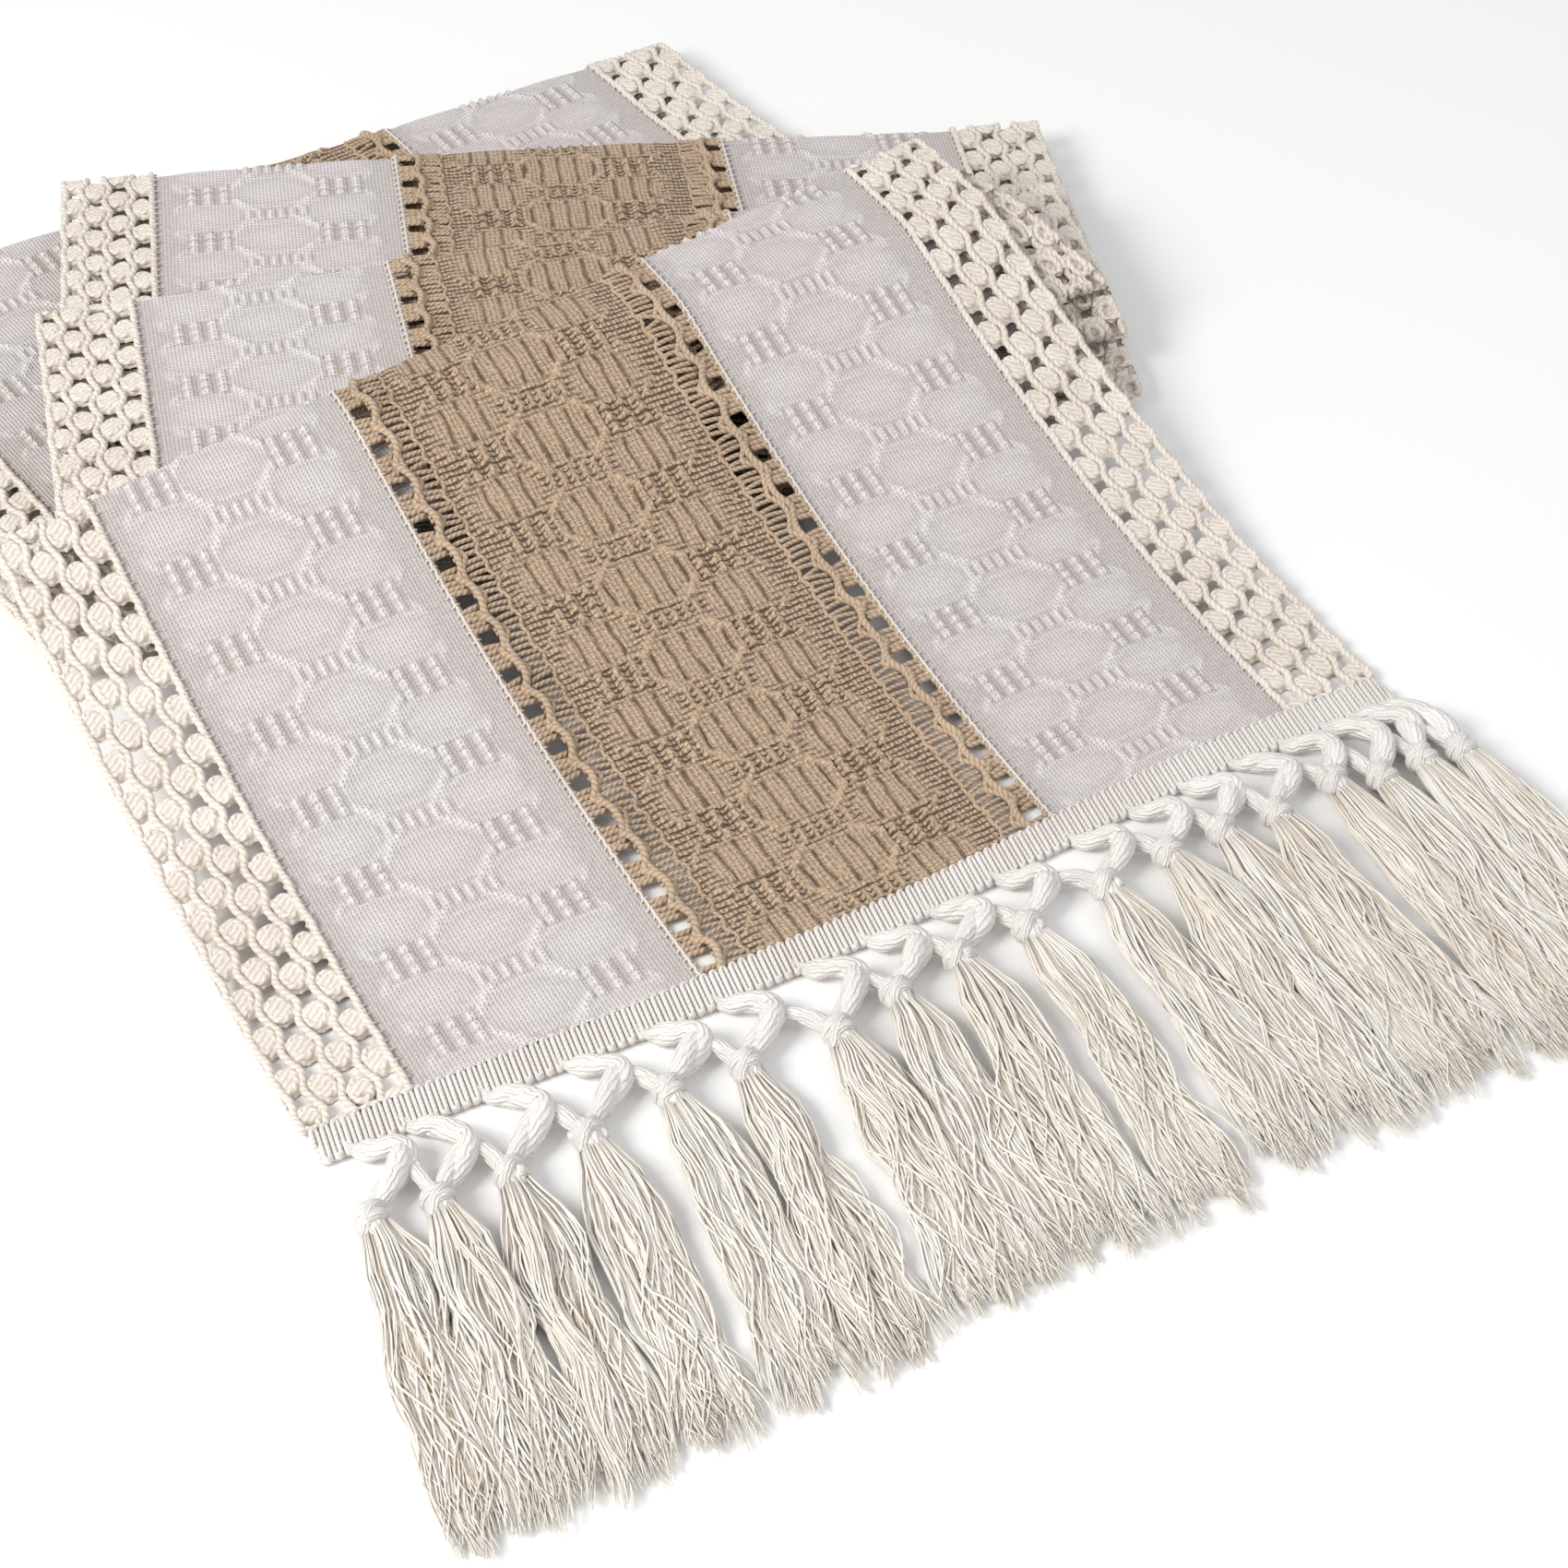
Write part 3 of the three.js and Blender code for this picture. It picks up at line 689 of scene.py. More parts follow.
LACE_YARN = yarn("lace_yarn", (0.64, 0.55, 0.47), (0.905, 0.845, 0.77), 520, 0.0004)
TAN_YARN = yarn("tan_yarn", (0.34, 0.23, 0.145), (0.66, 0.51, 0.37), 600, 0.0004, 0.9, 0.15)
BRAID = yarn("hem_braid", (0.68, 0.62, 0.57), (0.90, 0.87, 0.84), 700, 0.0003)
KNOT_YARN = yarn("knot_yarn", (0.79, 0.73, 0.675), (0.94, 0.92, 0.895), 330, 0.0006, 0.55, 0.35,
                 fibres=11)
THREAD = yarn("seam_thread", (0.64, 0.58, 0.53), (0.87, 0.83, 0.79), 900, 0.0002)


# %% [markdown]
# ## Lace borders
# Each side is a crocheted lace: four columns of small four-pointed holes, a puff of stitches
# between one hole and the next, and thick wavy chains between the columns. The dense stitches
# are a sheet made of cells, each cell a patch stretched between the outline of its hole and its
# own oblong border, swelling in the puffs. Rings of yarn and the chains lie on top of it. The
# rings have few sides, because there are hundreds of them.

# %% Lace
HOLE_PITCH = 13.05
HOLE_COLUMNS = ((3.5, 6.3, 4), (10.5, 12.4, 17), (17.5, 4.8, -3), (24.2, 10.4, 14))
CHAINS = ((0.5, -0.15, 6.3), (7.0, -0.95, 6.3), (14.0, 0.95, 4.8), (21.0, -0.95, 4.8),
          (26.6, -0.4, 10.4))
RING_STEPS = 14
CELL_SIDES, CELL_STEPS, CELL_HALF = 28, 6, 3.55


def wander(s, rng, size, spacing):
    """A slow random shift along s: a random number every so often, with straight lines between."""
    posts = np.arange(0, TOTAL + 20, spacing)
    return np.interp(s, posts, rng.normal(0, size, len(posts)))


def rings(middles, size, turns, rng):
    """Oval rings round each middle, turned by an angle. Each rises and falls twice on its way."""
    angle = 2 * math.pi * np.arange(RING_STEPS) / RING_STEPS
    x, y = 2.3 * size[:, None] * np.cos(angle), 3.3 * size[:, None] * np.sin(angle)
    cosine, sine = np.cos(turns)[:, None], np.sin(turns)[:, None]
    height = 0.3 + 0.25 * np.sin(2 * angle + rng.uniform(0, 6, (len(size), 1)))
    return np.stack([middles[:, None, 0] + x * cosine - y * sine,
                     middles[:, None, 1] + x * sine + y * cosine, height], axis=-1)


def hole_cells(w, middles, squeeze, rng):
    """A patch of cloth round each hole, squeezed along the strip where the hem cuts it short. Its
    inner edge is the hole: a distance that is long towards the four corners and short between
    them. Its outer edge is the cell's oblong, and the rows between swell into half a puff on
    either side of the hole."""
    around, steps = CELL_SIDES, CELL_STEPS
    angle = 2 * math.pi * np.arange(around) / around
    reach = 0.70 + 0.46 * np.abs(np.sin(2 * angle)) ** 1.5
    size = rng.normal(1, 0.06, (len(middles), 1))
    hole = np.stack([3.0 * reach * np.cos(angle) * size, 2.55 * reach * np.sin(angle) * size], axis=-1)
    corner = np.maximum(np.abs(np.cos(angle)) / CELL_HALF, np.abs(np.sin(angle)) / (HOLE_PITCH / 2))
    border = np.stack([np.cos(angle) / corner, np.sin(angle) / corner], axis=-1)
    share = np.linspace(0, 1, steps)[None, :, None, None]
    flat = hole[:, None] * (1 - share) + border[None, None] * share
    puff = np.hypot(flat[..., 0] / 3.4, (HOLE_PITCH / 2 - np.abs(flat[..., 1])) / 4.4)
    height = 0.45 + 0.85 * np.clip(1 - puff ** 2, 0, 1) ** 0.5 - 0.8 * np.exp(-(puff / 0.16) ** 2)
    height = height - 1.5 * (1 - share[..., 0]) ** 5
    s = middles[:, None, None] + flat[..., 1] * squeeze[:, None, None]
    points = np.stack([w + flat[..., 0], s, height], axis=-1)
    cell = np.arange(len(middles))[:, None, None] * steps * around
    row, turn = np.arange(steps - 1)[None, :, None] * around, np.arange(around)[None, None, :]
    a, b = cell + row + turn, cell + row + (turn + 1) % around
    faces = np.stack([a, a + around, b + around, b], axis=-1).reshape(-1, 4)
    uv = points.reshape(-1, 3)[faces.ravel()][:, [1, 0]] * (1, 0.2)
    return points.reshape(-1, 3), [faces], [uv]


def outwards(parts, sign):
    """Parts drawn to the right of the middle, joined, and mirrored to the left when sign is -1.
    A mirror turns faces inside out, so their corners are then listed the other way round."""
    points, faces, uv = together(*parts)
    points[:, 0] *= sign
    if sign < 0:
        faces = [group[:, ::-1] for group in faces]
        uv = [group.reshape(len(f), -1, 2)[:, ::-1].reshape(-1, 2) for group, f in zip(uv, faces)]
    return cloth(points), faces, in_metres(uv)


def lace_border(name, sign, seed):
    """One border, drawn outwards from its seam: the dense sheet, and the yarns that lie on it."""
    rng = np.random.default_rng(seed)
    parts, cells = [], []
    count = int(TOTAL / HOLE_PITCH)
    for w, first, tilt in HOLE_COLUMNS:
        s = first + HOLE_PITCH * (np.arange(-1, count + 1) + 0.5)
        s = s[(s > 2.4) & (s < TOTAL - 2.4)]
        middles = np.column_stack([w + rng.normal(0, 0.14, len(s)), s + rng.normal(0, 0.22, len(s))])
        size = rng.normal(1, 0.035, len(s))
        turns = np.radians(tilt + rng.normal(0, 7, len(s)))
        parts.append(tubes(rings(middles, size, turns, rng), 0.95, 6, closed=True))
        holes = first + HOLE_PITCH * np.arange(0, count + 1)
        holes = holes[holes < TOTAL - 2.8]
        squeeze = np.ones(len(holes))
        at_hem = first - HOLE_PITCH / 2
        if at_hem > 2.0:
            holes = np.append(holes, (0.3 + at_hem) / 2)
            squeeze = np.append(squeeze, (at_hem - 0.3) / HOLE_PITCH)
        cells.append(hole_cells(w, holes, squeeze, rng))
    s = np.arange(0.3, TOTAL - 0.3, 1.3)
    for w, sway, first in CHAINS:
        phase = 2 * math.pi * (s - first) / HOLE_PITCH
        x = w + sway * np.cos(phase) + wander(s, rng, 0.12, 9.0)
        chain = np.stack([x, s, 0.6 + 0.35 * np.cos(2 * phase + 0.8)], axis=-1)
        parts.append(tubes(chain[None], 1.0, 6))
    for points, _, _ in parts + cells:
        points[:, 0] += SEAM
    pieces = [make_piece(name + "_sheet", *outwards(cells, sign), LACE_YARN),
              make_piece(name + "_yarn", *outwards(parts, sign), LACE_YARN)]
    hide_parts(name)
    return pieces


lace_left, lace_left_yarn = lace_border("lace_border_left", -1, 11)
lace_right, lace_right_yarn = lace_border("lace_border_right", 1, 12)

# %% [markdown]
# ## Openwork beside the tan cloth
# Between the tan cloth and the white strips the weft is left open like a ladder. Groups of rungs
# leave a row of square holes next to the seam, a scalloped chain runs down the middle, and finer
# rungs reach from it to the cloth.

# %% Openwork
RUNG_PITCH, RUNG_STEPS = 12.65, 5


def openwork(name, sign, first, seed):
    """One openwork strip, drawn outwards from the tan cloth."""
    rng = np.random.default_rng(seed)
    low, chain_at, high = TAN_EDGE - 0.6, 44.6, CENTRE + 0.4
    s0 = first + RUNG_PITCH * np.arange(-1, int(TOTAL / RUNG_PITCH) + 2)

    def rungs(offsets, start, end, radius, dip):
        """Short yarns across the strip: straight lines with a little slant, sag and rise."""
        steps = RUNG_STEPS
        s = (s0[:, None] + np.asarray(offsets)).ravel()
        s = s + rng.normal(0, 0.16, len(s))
        s = s[(s > 1.0) & (s < TOTAL - 1.0)]
        t = np.linspace(0, 1, steps)
        slant = rng.normal(0, 0.75, (len(s), 1))
        paths = np.stack([np.broadcast_to(start + (end - start) * t, (len(s), steps)),
                          s[:, None] + slant * (t - 0.5) + dip * np.sin(math.pi * t),
                          -0.15 + 0.25 * np.sin(math.pi * t) + rng.normal(0, 0.08, (len(s), 1))], axis=-1)
        return tubes(paths, radius, 4)

    s = np.arange(0.4, TOTAL - 0.4, RUNG_PITCH / 16)
    turn = 2 * math.pi * (s - first) / RUNG_PITCH
    stray = [wander(s, rng, 0.32, 4.0) for _ in range(4)]
    scallop = chain_at + 2.7 * np.sin(turn / 2) ** 2 - 0.9 + stray[0]
    chain = np.stack([scallop, s + 1.3 * np.sin(turn), 0.85 + 0.4 * np.cos(turn) + stray[1]], axis=-1)
    strand = np.stack([scallop - 1.7 + stray[2], s - 1.0 * np.sin(turn), 0.45 - 0.3 * np.cos(turn)], axis=-1)
    edge = np.stack([high - 0.9 + 0.15 * np.cos(turn * 3), s, 0 * s + 0.1], axis=-1)
    inner_edge = np.stack([low + 0.4 + 0.5 * np.cos(turn * 2) + stray[3], s, 0 * s + 0.1], axis=-1)
    middle = RUNG_PITCH / 2
    parts = [
        tubes(chain[None], 1.0, 6), tubes(strand[None], 0.85, 5),
        tubes(edge[None], 0.7, 4), tubes(inner_edge[None], 0.6, 4),
        rungs(middle + np.array([-3.4, -1.75, 0, 1.75, 3.4]), chain_at + 0.6, high, 0.92, 0.0),
        rungs(np.array([-4.0, -1.9, 0.3, 2.4, 4.6, 6.8]), low, chain_at + 0.4, 0.72, 0.2),
    ]
    return make_piece(name, *outwards(parts, sign), TAN_YARN)


ladder_left = openwork("tan_openwork_left", -1, 5.4, 21)
ladder_right = openwork("tan_openwork_right", 1, 4.6, 22)

# %% [markdown]
# ## Seams
# The strips are sewn together with small slanting stitches over a thin cord.

# %% Seams
def seam(name, node, at, seed):
    """A thin wavy cord along the joint and a row of short stitches across it."""
    rng = np.random.default_rng(seed)
    s = np.arange(0.4, TOTAL - 0.4, 1.6)
    cord = np.stack([at + 0.18 * np.sin(s * 1.9), s, 0.75 + 0.12 * np.cos(s * 1.9)], axis=-1)
    places = np.arange(1.0, TOTAL - 1.0, 3.1)
    places = places + rng.normal(0, 0.12, len(places))
    t = np.linspace(-1, 1, 5)
    reach = (1.25 + rng.normal(0, 0.1, len(places)))[:, None]
    arc = 0.95 - 0.55 * t ** 2 + 0 * reach
    stitches = np.stack([at + reach * t, places[:, None] + 0.45 * t, arc], axis=-1)
    points, faces, uv = together(tubes(cord[None], 0.42, 4), tubes(stitches, 0.30, 4))
    piece = make_piece(name, cloth(points), faces, in_metres(uv), THREAD)
    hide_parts(node)
    return piece


seams = [
    seam("seam_lace_left_stitches", "seam_lace_left", -SEAM, 31),
    seam("seam_centre_left_stitches", "seam_centre_left", -CENTRE, 32),
    seam("seam_centre_right_stitches", "seam_centre_right", CENTRE, 33),
    seam("seam_lace_right_stitches", "seam_lace_right", SEAM, 34),
]

# %% [markdown]
# ## The two ends
# Both ends are made the same way, and drawn in the same small frame: x along the hem, y away
# from the cloth's middle, z up. The rear end is flattened under the pile. So each part of an end
# is made once by a function and placed by a turn, a shift and a squeeze.

# %% Placing an end
FRONT = dict(name="front", place=np.zeros(2), turn=0.0, squeeze=1.0)
last_panel = PANELS[-1]
across_x, across_y = last_panel["across"]
REAR = dict(name="rear", place=last_panel["end"], turn=math.atan2(across_y, across_x), squeeze=0.6)


def at_end(end, points):
    """Points of an end, in millimetres, into the runner's frame in metres."""
    cosine, sine = math.cos(end["turn"]), math.sin(end["turn"])
    x = points[..., 0] * cosine - points[..., 1] * sine + end["place"][0]
    y = points[..., 0] * sine + points[..., 1] * cosine + end["place"][1]
    return np.stack([x, y, points[..., 2] * end["squeeze"]], axis=-1) * MM + HEM


def bow_at(end, x):
    """Only the front hem lies in a bow; the rear one is straight."""
    return hem_bow(x) if end["name"] == "front" else 0 * x


def end_piece(end, name, parts, finish, body="runner", attributes=()):
    """A piece of an end, joined from its tubes."""
    points, faces, uv = together(*parts)
    return make_piece(name, at_end(end, points), faces, in_metres(uv), finish, body, attributes)


# %% [markdown]
# ## Hem band
# The band is a flat braid: one thick cord laid to and fro across its depth, so that its bends
# make a row of small rounded ends along both edges. The path is a wave whose crests are pushed
# square. Flat cords of the same yarn close it from below.

# %% Hem band
BAND_LOOPS, LOOP_STEPS = 116, 12
BAND_HALF, BAND_MIDDLE, BAND_SWING, SQUARENESS = 151.4, -5.0, 4.9, 2.3
UNDER_CORDS = (-1.4, -3.4, -5.2, -7.0, -9.0)


def band(end):
    """A serpentine cord: x grows steadily with a wobble of twice the wave's rate, and y swings
    between the band's two edges as tanh of a sine."""
    turn = np.linspace(0, 2 * math.pi * BAND_LOOPS, BAND_LOOPS * LOOP_STEPS + 1)
    x = -BAND_HALF + 2 * BAND_HALF * turn / turn[-1] - 0.22 * np.sin(2 * turn)
    swing = BAND_SWING * np.tanh(SQUARENESS * np.sin(turn)) / math.tanh(SQUARENESS)
    y = BAND_MIDDLE + swing + bow_at(end, x)
    snake = np.stack([x + 0.17 * swing, y, 1.75 + 0.14 * np.cos(turn)], axis=-1)
    x = np.linspace(-BAND_HALF - 0.2, BAND_HALF + 0.2, 240)
    bow = bow_at(end, x)
    under = [np.stack([x, bow + at, 0 * x + 0.85], axis=-1) for at in UNDER_CORDS]
    parts = [tubes(snake[None], 0.66, 6, flat=1.8), tubes(np.array(under), 1.1, 4, flat=0.65)]
    piece = end_piece(end, end["name"] + "_band_braid", parts, BRAID)
    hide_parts(end["name"] + "_end_band")
    return piece


# %% [markdown]
# ## Knotted cords
# From the band a thick cord comes out to the right, bends back over itself and runs down to the
# left, swelling on the way, to the knot of its own tassel. A thinner cord goes on from the bend
# to the next knot. A cord is two strands that wind round one middle line. A knot is a coil round
# the tassel's neck, closed by a slanting wrap. They are tied by hand, so each has its own place:
# the table gives the knot and then the bend above it, both as x and y.

# %% Knotted cords
KNOTS = np.array([
    (-149.4, -32.2, -136, -17), (-134.4, -35.2, -122, -20), (-117.2, -35.3, -103, -18.5),
    (-97.2, -33.3, -83, -17.5), (-75.5, -30.2, -62.5, -17), (-56.6, -32.3, -43, -18),
    (-32.7, -33.5, -20.5, -18), (-14.9, -30, -2.5, -17), (3.9, -27.5, 16, -16.5),
    (23.4, -29, 35.5, -17), (47.3, -28.6, 59, -17), (66.7, -28.6, 77, -17),
    (82.8, -29.6, 93, -17), (97.8, -31.7, 109.5, -18.5), (117.3, -29.4, 124, -17),
    (128.4, -34, 137, -19.5), (141.2, -33, 146, -18.5), (152, -35.4, 152, -20)])
TASSELS = len(KNOTS)
knot_x, knot_y, upper_x, upper_y = KNOTS.T
KNOT_Z, KNOT_SIZE = 4.4, 4.3
ROOT_DEPTH = 6.0
CORD_STEPS, THIN_STEPS, CORE_STEPS = 40, 14, 8
STRANDS, CORD_SIDES = 2, 8


def smooth_path(points, steps):
    """A smooth curve through a few points: the points are spaced by their distances and each
    coordinate is a cubic through them (Catmull-Rom)."""
    points = np.asarray(points, float)
    padded = np.concatenate([[2 * points[0] - points[1]], points, [2 * points[-1] - points[-2]]])
    t = np.linspace(0, len(points) - 1 - 1e-9, steps)
    k = t.astype(int)
    f = (t - k)[:, None]
    a, b, c, d = padded[k], padded[k + 1], padded[k + 2], padded[k + 3]
    square, cube = 2 * a - 5 * b + 4 * c - d, 3 * b - a - 3 * c + d
    return 0.5 * (2 * b + (c - a) * f + square * f ** 2 + cube * f ** 3)


def twisted(path, half_width, turns, phase):
    """Strands wound round a path: each is the path plus an offset times the cosine and sine of a
    growing angle along the two directions square to the path. half_width is one number or one
    for each point of the path."""
    along = unit(np.gradient(path, axis=0))
    side = unit(np.cross(along, [0, 0, 1.0]))
    over = np.cross(side, along)
    t = np.linspace(0, 1, len(path))
    angle = phase + 2 * math.pi * (turns * t[None, :] + np.arange(STRANDS)[:, None] / STRANDS)
    width = np.broadcast_to(np.asarray(half_width, float), t.shape)
    turned = np.cos(angle)[..., None] * side + np.sin(angle)[..., None] * over
    return tubes(path[None] + (0.24 * width)[None, :, None] * turned, 0.78 * width[None, :], CORD_SIDES)


def knot(x, y, slant, rng):
    """A knot: a little over one and a half turns of cord round the neck, a wrap over the top and
    a core that fills them."""
    size = KNOT_SIZE
    middle = np.array([x, y, KNOT_Z])
    t = np.linspace(0, 1, 26)
    angle = 2 * math.pi * (1.6 * t + rng.uniform(0, 1))
    swell = size * (0.56 + 0.08 * np.sin(math.pi * t))
    coil = middle + np.stack([swell * np.cos(angle) + slant * (t - 0.5), size * (0.5 - t),
                              swell * np.sin(angle)], axis=-1)
    wrap = middle + smooth_path([[size * 0.75, size * 0.7, -0.4], [size * 0.3, size * 0.3, size * 0.58],
                                 [-size * 0.3, -size * 0.25, size * 0.62],
                                 [-size * 0.72, -size * 0.7, -0.3]], THIN_STEPS)
    core = middle + smooth_path([[0, size * 0.9, 0], [0, 0, 0], [0, -size * 1.1, 0]], CORE_STEPS)
    core_size = size * 0.72 * (1 - 0.25 * np.linspace(-1, 1, CORE_STEPS) ** 2)
    return [tubes(coil[None], size * 0.38, CORD_SIDES, upward=(0, 1, 0)),
            tubes(wrap[None], size * 0.36, CORD_SIDES), tubes(core[None], core_size[None], CORD_SIDES)]


def netting(end, seed):
    """All the cords and knots of one end. The thick cord of each tassel is one smooth path from
    the band, over the bend and down to the knot."""
    rng = np.random.default_rng(seed)
    parts = []
    tied_y = knot_y + bow_at(end, knot_x)
    for i in range(TASSELS):
        x, y, up_x, up_y = knot_x[i], tied_y[i], upper_x[i], upper_y[i] + bow_at(end, upper_x[i])
        edge = bow_at(end, up_x - 8) - ROOT_DEPTH
        path = smooth_path([[up_x - 9.5, edge, 1.3], [up_x - 7.6, edge - 4.6, 1.9],
                            [up_x - 4.4, edge - 7.8, 3.8], [up_x - 0.6, up_y + 1.0, 4.9],
                            [up_x + 0.6, up_y - 2.2, 4.6],
                            [(up_x + x) / 2 + 1.2, (up_y + y) / 2 - 0.3, KNOT_Z],
                            [x + 0.8, y + 2.0, KNOT_Z]], CORD_STEPS)
        t = np.linspace(0, 1, CORD_STEPS)
        width = 2.75 + 0.95 * np.exp(-(((t - 0.75) / 0.13) ** 2)) - 0.5 * ramp(t, 0.88, 1.0)
        width = np.minimum(width * rng.uniform(0.94, 1.05), path[:, 2] - 0.1)
        parts.append(twisted(path, width, 1.5, rng.uniform(0, 6)))
        if i + 1 < TASSELS:
            following = np.array([knot_x[i + 1], tied_y[i + 1] + 1.5, KNOT_Z - 0.6])
            start = np.array([up_x - 1.0, up_y - 0.8, 3.2])
            between = (start + following) / 2 + [0.8, 1.6, 0.2]
            thin = smooth_path([start, between, following], THIN_STEPS)
            width = 2.0 + 0.35 * np.sin(math.pi * np.linspace(0, 1, THIN_STEPS))
            parts.append(twisted(thin, width, 0.6, rng.uniform(0, 6)))
        parts += knot(x, y, rng.uniform(-0.6, 0.6), rng)
    piece = end_piece(end, end["name"] + "_netting_cords", parts, KNOT_YARN)
    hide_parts(end["name"] + "_knotted_netting")
    return piece


# %% [markdown]
# ## Tassel finish
# The fringe is untwisted cotton, so each strand is a thin, slightly glossy fibre bundle. Its
# colour changes from strand to strand, from cool white to cream.

# %% Tassel strands
def strand_finish():
    """Share = the strand's own tone, a slow change over the fringe and fine fibres. The core's tone is set
    low, as painted shade inside the bundle.
    """
    finish = Finish("fringe_yarn", Roughness=0.62, Sheen_Weight=0.3, Sheen_Roughness=0.35)
    place = finish.place()
    tone = finish.attribute("tone")
    slow = finish.noise(place, 45.0, 2.0)
    fine = finish.noise(finish.stretched(place, (1, 0.15, 1)), 900.0, 2.0)
    share = tone * 0.6 + slow * 0.45 + fine * 0.2 - 0.15
    finish.put("Base Color", finish.ramp(share, (0.10, (0.77, 0.675, 0.565)),
                                         (0.42, (0.90, 0.84, 0.755)), (0.8, (0.94, 0.91, 0.865))))
    finish.bump(fine, 0.0002, 0.6)
    return finish.material


FRINGE_YARN = strand_finish()

# %% [markdown]
# ## Tassels
# A tassel is a bundle of about three hundred strands that leave the knot together, swell out
# just below it and then lie on the table. Strands keep together in locks. So a lock gets its own
# slow waves, and each strand in it only small ones. A few strands stray out in loops. A soft
# body inside the bundle stands for the strands that nobody sees, and its darker tone is painted
# shade between the strands. The rear tassels lie under the pile, so they have fewer strands.

# %% Tassels
TASSEL_TOP = -31.0
# the core's tone is low, so it shows darker between the strands as painted shade
CORE_SIDES, CORE_SHADE_TONE = 12, 0.15
STRAND_SIDES, STRAY_SHARE = 3, 0.09


def lean(i, y):
    """How far a tassel lies to one side at y: it grows from the top to the tip."""
    share = np.maximum(0, TASSEL_TOP - y) / (TASSEL_TOP - TIP_Y)
    return (-8 + 0.03 * knot_x[i]) * share ** 1.5


def tassel(end, i, locks, strands, steps, seed):
    """Strands as paths: the tassel's middle line, plus the lock's place in the bundle times the
    bundle's width, plus waves whose size grows along the strand."""
    rng = np.random.default_rng(seed)
    count = locks * strands
    t = np.linspace(0, 1, steps) ** 0.85

    def for_strands(values):
        """One value for each lock, given to all of its strands."""
        return np.repeat(values, strands)[:, None]

    lock_x = for_strands(rng.permutation(np.linspace(-1, 1, locks)))
    lock_z = for_strands(rng.uniform(-1, 1, locks))
    own_x, own_z = rng.uniform(-1, 1, (count, 1)), rng.uniform(-1, 1, (count, 1))
    length = for_strands(rng.uniform(0.90, 1.03, locks)) * rng.uniform(0.93, 1.03, (count, 1))

    def waves(low, high, size, per_lock):
        """Sines of random rate, phase and height, all zero at the knot."""
        number = locks if per_lock else count
        rate, phase = rng.uniform(low, high, (number, 1)), rng.uniform(0, 2 * math.pi, (number, 1))
        height = rng.uniform(0.4, 1, (number, 1)) * size
        if per_lock:
            rate, phase, height = (for_strands(each[:, 0]) for each in (rate, phase, height))
        swing = np.sin(2 * math.pi * rate * t + phase) - np.sin(phase) * (1 - t)
        return height * swing * ramp(t, 0, 0.35)

    top = knot_y[i] + bow_at(end, knot_x[i]) - 1.5
    neighbours = np.abs(np.delete(knot_x, i) - knot_x[i]).min()
    fit = min(1.0, (neighbours / 2 + 1.4) / 9.0)
    y = top + (TIP_Y - top) * t * length
    width = 3.3 + (4.0 * ramp(t, 0.0, 0.17) + 2.4 * ramp(t, 0.2, 1.0)) * fit
    thick = 2.5 + 0.7 * ramp(t, 0, 0.10) - 1.9 * ramp(t, 0.15, 0.9)
    kept = 0.64 + 0.16 * ramp(t, 0.1, 0.5)
    aside = lock_x * kept + own_x * (1 - kept)
    x = knot_x[i] + lean(i, y) + aside * width
    x = x + waves(0.5, 1.3, 2.3 * fit, True) + waves(1.8, 3.2, 1.2 * fit, True)
    x = x + waves(1.5, 3.4, 0.6, False)
    middle_z = KNOT_Z - (KNOT_Z - 0.45 - thick) * ramp(t, 0.02, 0.4)
    thinned = thick * np.sqrt(1 - 0.75 * aside ** 2)
    z = middle_z + (0.6 * lock_z + 0.4 * own_z) * thinned + waves(1.0, 2.2, 0.35, False)
    y = y + waves(1.0, 2.0, 0.8, True)
    stray = rng.uniform(0, 1, (count, 1)) < STRAY_SHARE
    loop_rate, loop_phase = rng.uniform(1.5, 3.2, (count, 1)), rng.uniform(0, 6, (count, 1))
    curl = stray * ramp(t, 0.1, 0.5) * rng.uniform(1.0, 2.6, (count, 1))
    x = x + curl * np.sin(2 * math.pi * loop_rate * t + loop_phase)
    y = y + 0.6 * curl * np.cos(2 * math.pi * loop_rate * t + loop_phase)
    z = np.maximum(z + 0.5 * np.abs(curl), 0.42)
    paths = np.stack([x, y, z], axis=-1)
    radius = rng.uniform(0.24, 0.36, (count, 1)) * (1 - 0.5 * ramp(t, 0.8, 1.0))
    core_y = top + (TIP_Y - top) * 0.8 * t
    core = np.stack([knot_x[i] + lean(i, core_y), core_y, np.maximum(middle_z, 1.1)], axis=-1)
    core_width = (width * 0.58 * (1 - 0.85 * ramp(t, 0.35, 0.9)))[None]
    core_flat = np.minimum(thick / width * 0.6, 0.6)[None, :, None, None]
    parts = [tubes(paths, radius, STRAND_SIDES),
             tubes(core[None], core_width, CORE_SIDES, flat=core_flat)]
    tone = rng.uniform(0, 1, (count, 1)) * 0.6 + 0.4 * for_strands(rng.uniform(0, 1, locks))
    # the core gets the fixed darker tone: painted shade inside the bundle
    tone = np.append(np.repeat(tone, steps * STRAND_SIDES), np.full(steps * CORE_SIDES, CORE_SHADE_TONE))
    name = f"{end['name']}_tassel_{i + 1:02d}"
    body = f"tassel_{i + 1:02d}" if end["name"] == "front" else "runner"
    piece = end_piece(end, name + "_strands", parts, FRINGE_YARN, body, [("tone", tone)])
    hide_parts(name)
    return piece


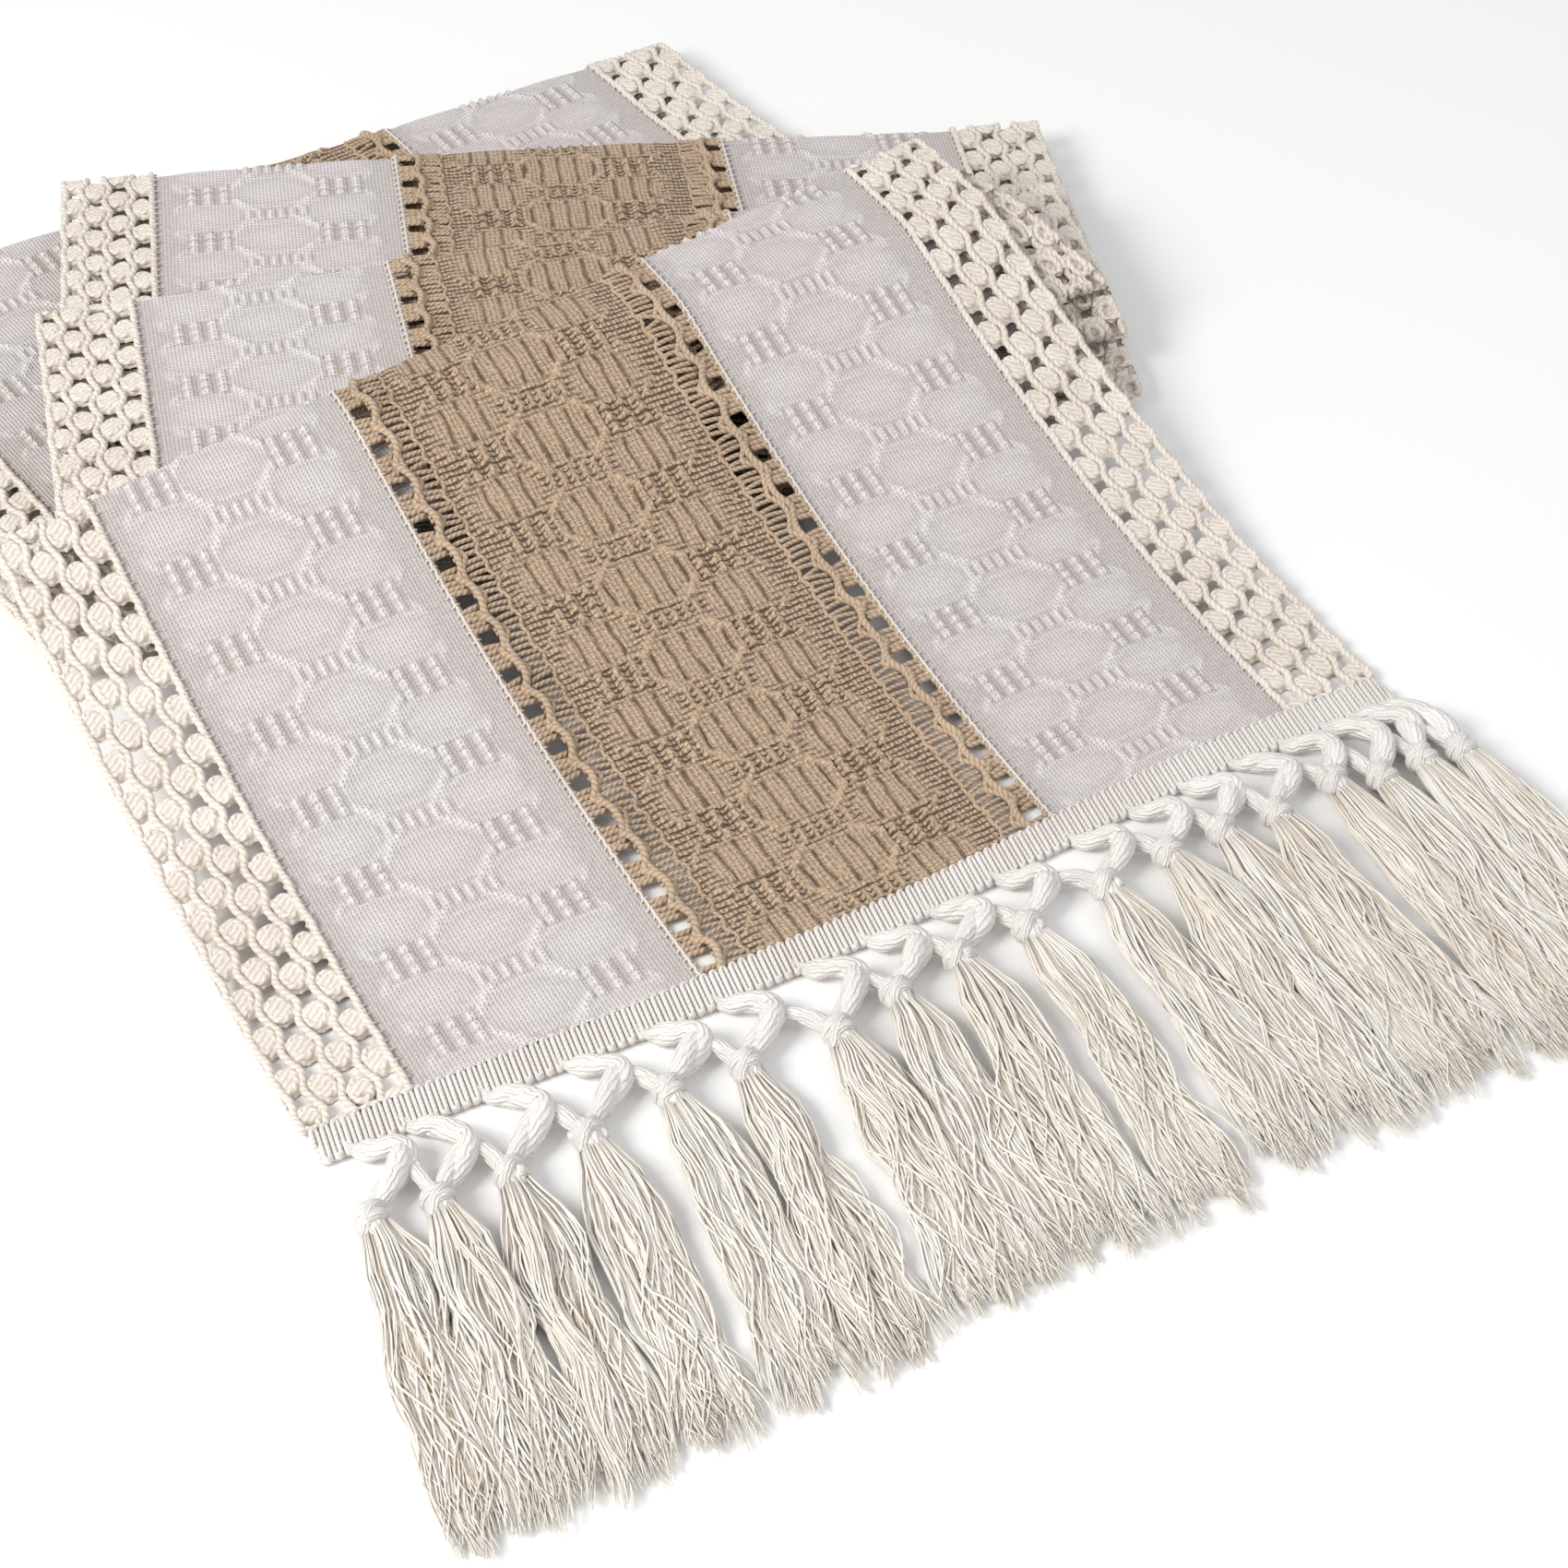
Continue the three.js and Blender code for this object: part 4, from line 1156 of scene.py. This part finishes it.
for end, locks, strands, steps, seed in ((FRONT, 14, 22, 18, 100), (REAR, 8, 6, 8, 200)):
    band(end)
    netting(end, seed)
    for i in range(TASSELS):
        tassel(end, i, locks, strands, steps, seed + 1 + i)

# %% [markdown]

# %% [markdown]
# ## Floor and light
# The floor is plain and pale. One soft light stands on the left, a larger and weaker one fills
# in from the right, and the sky gives even light from all round.

# %% Floor and light
FLOOR_HALF, FLOOR_DROP = 4.0, 0.0002


def floor_piece():
    """A large square just below the lowest strands."""
    finish = Finish("floor", Roughness=0.9, Base_Color=(0.965, 0.962, 0.955, 1))
    signs = ((-1, -1), (1, -1), (1, 1), (-1, 1))
    corners = [(x * FLOOR_HALF, y * FLOOR_HALF, -FLOOR_DROP) for x, y in signs]
    mesh = bpy.data.meshes.new("floor")
    mesh.from_pydata(corners, [], [(0, 1, 2, 3)])
    mesh.materials.append(finish.material)
    piece = bpy.data.objects.new("floor", mesh)
    bpy.context.collection.objects.link(piece)


def soft_light(name, place, size, power, colour):
    """A round lamp that faces the middle of the frame. A lamp shines along its own -z, so its
    third axis points from the middle to the lamp."""
    data = bpy.data.lights.new(name, "AREA")
    data.shape, data.size, data.energy, data.color = "DISK", size, power, colour
    lamp = bpy.data.objects.new(name, data)
    bpy.context.collection.objects.link(lamp)
    back = unit(np.array(place))
    side = unit(np.cross([0, 0, 1.0], back))
    turn = np.eye(4)
    turn[:3, 0], turn[:3, 1], turn[:3, 2], turn[:3, 3] = side, np.cross(back, side), back, place
    lamp.matrix_world = Matrix(turn.tolist())


floor_piece()
soft_light("key", (-1.05, -0.12, 0.90), 0.6, 14.0, (1.0, 0.985, 0.96))
soft_light("fill", (1.2, -0.9, 1.5), 1.6, 7.0, (0.96, 0.98, 1.0))
world = bpy.data.worlds.new("sky")
world.use_nodes = True
sky = world.node_tree.nodes["Background"]
sky.inputs["Color"].default_value = (0.97, 0.98, 1.0, 1)
sky.inputs["Strength"].default_value = 0.6
bpy.context.scene.world = world
bpy.context.scene.view_settings.view_transform = "Standard"
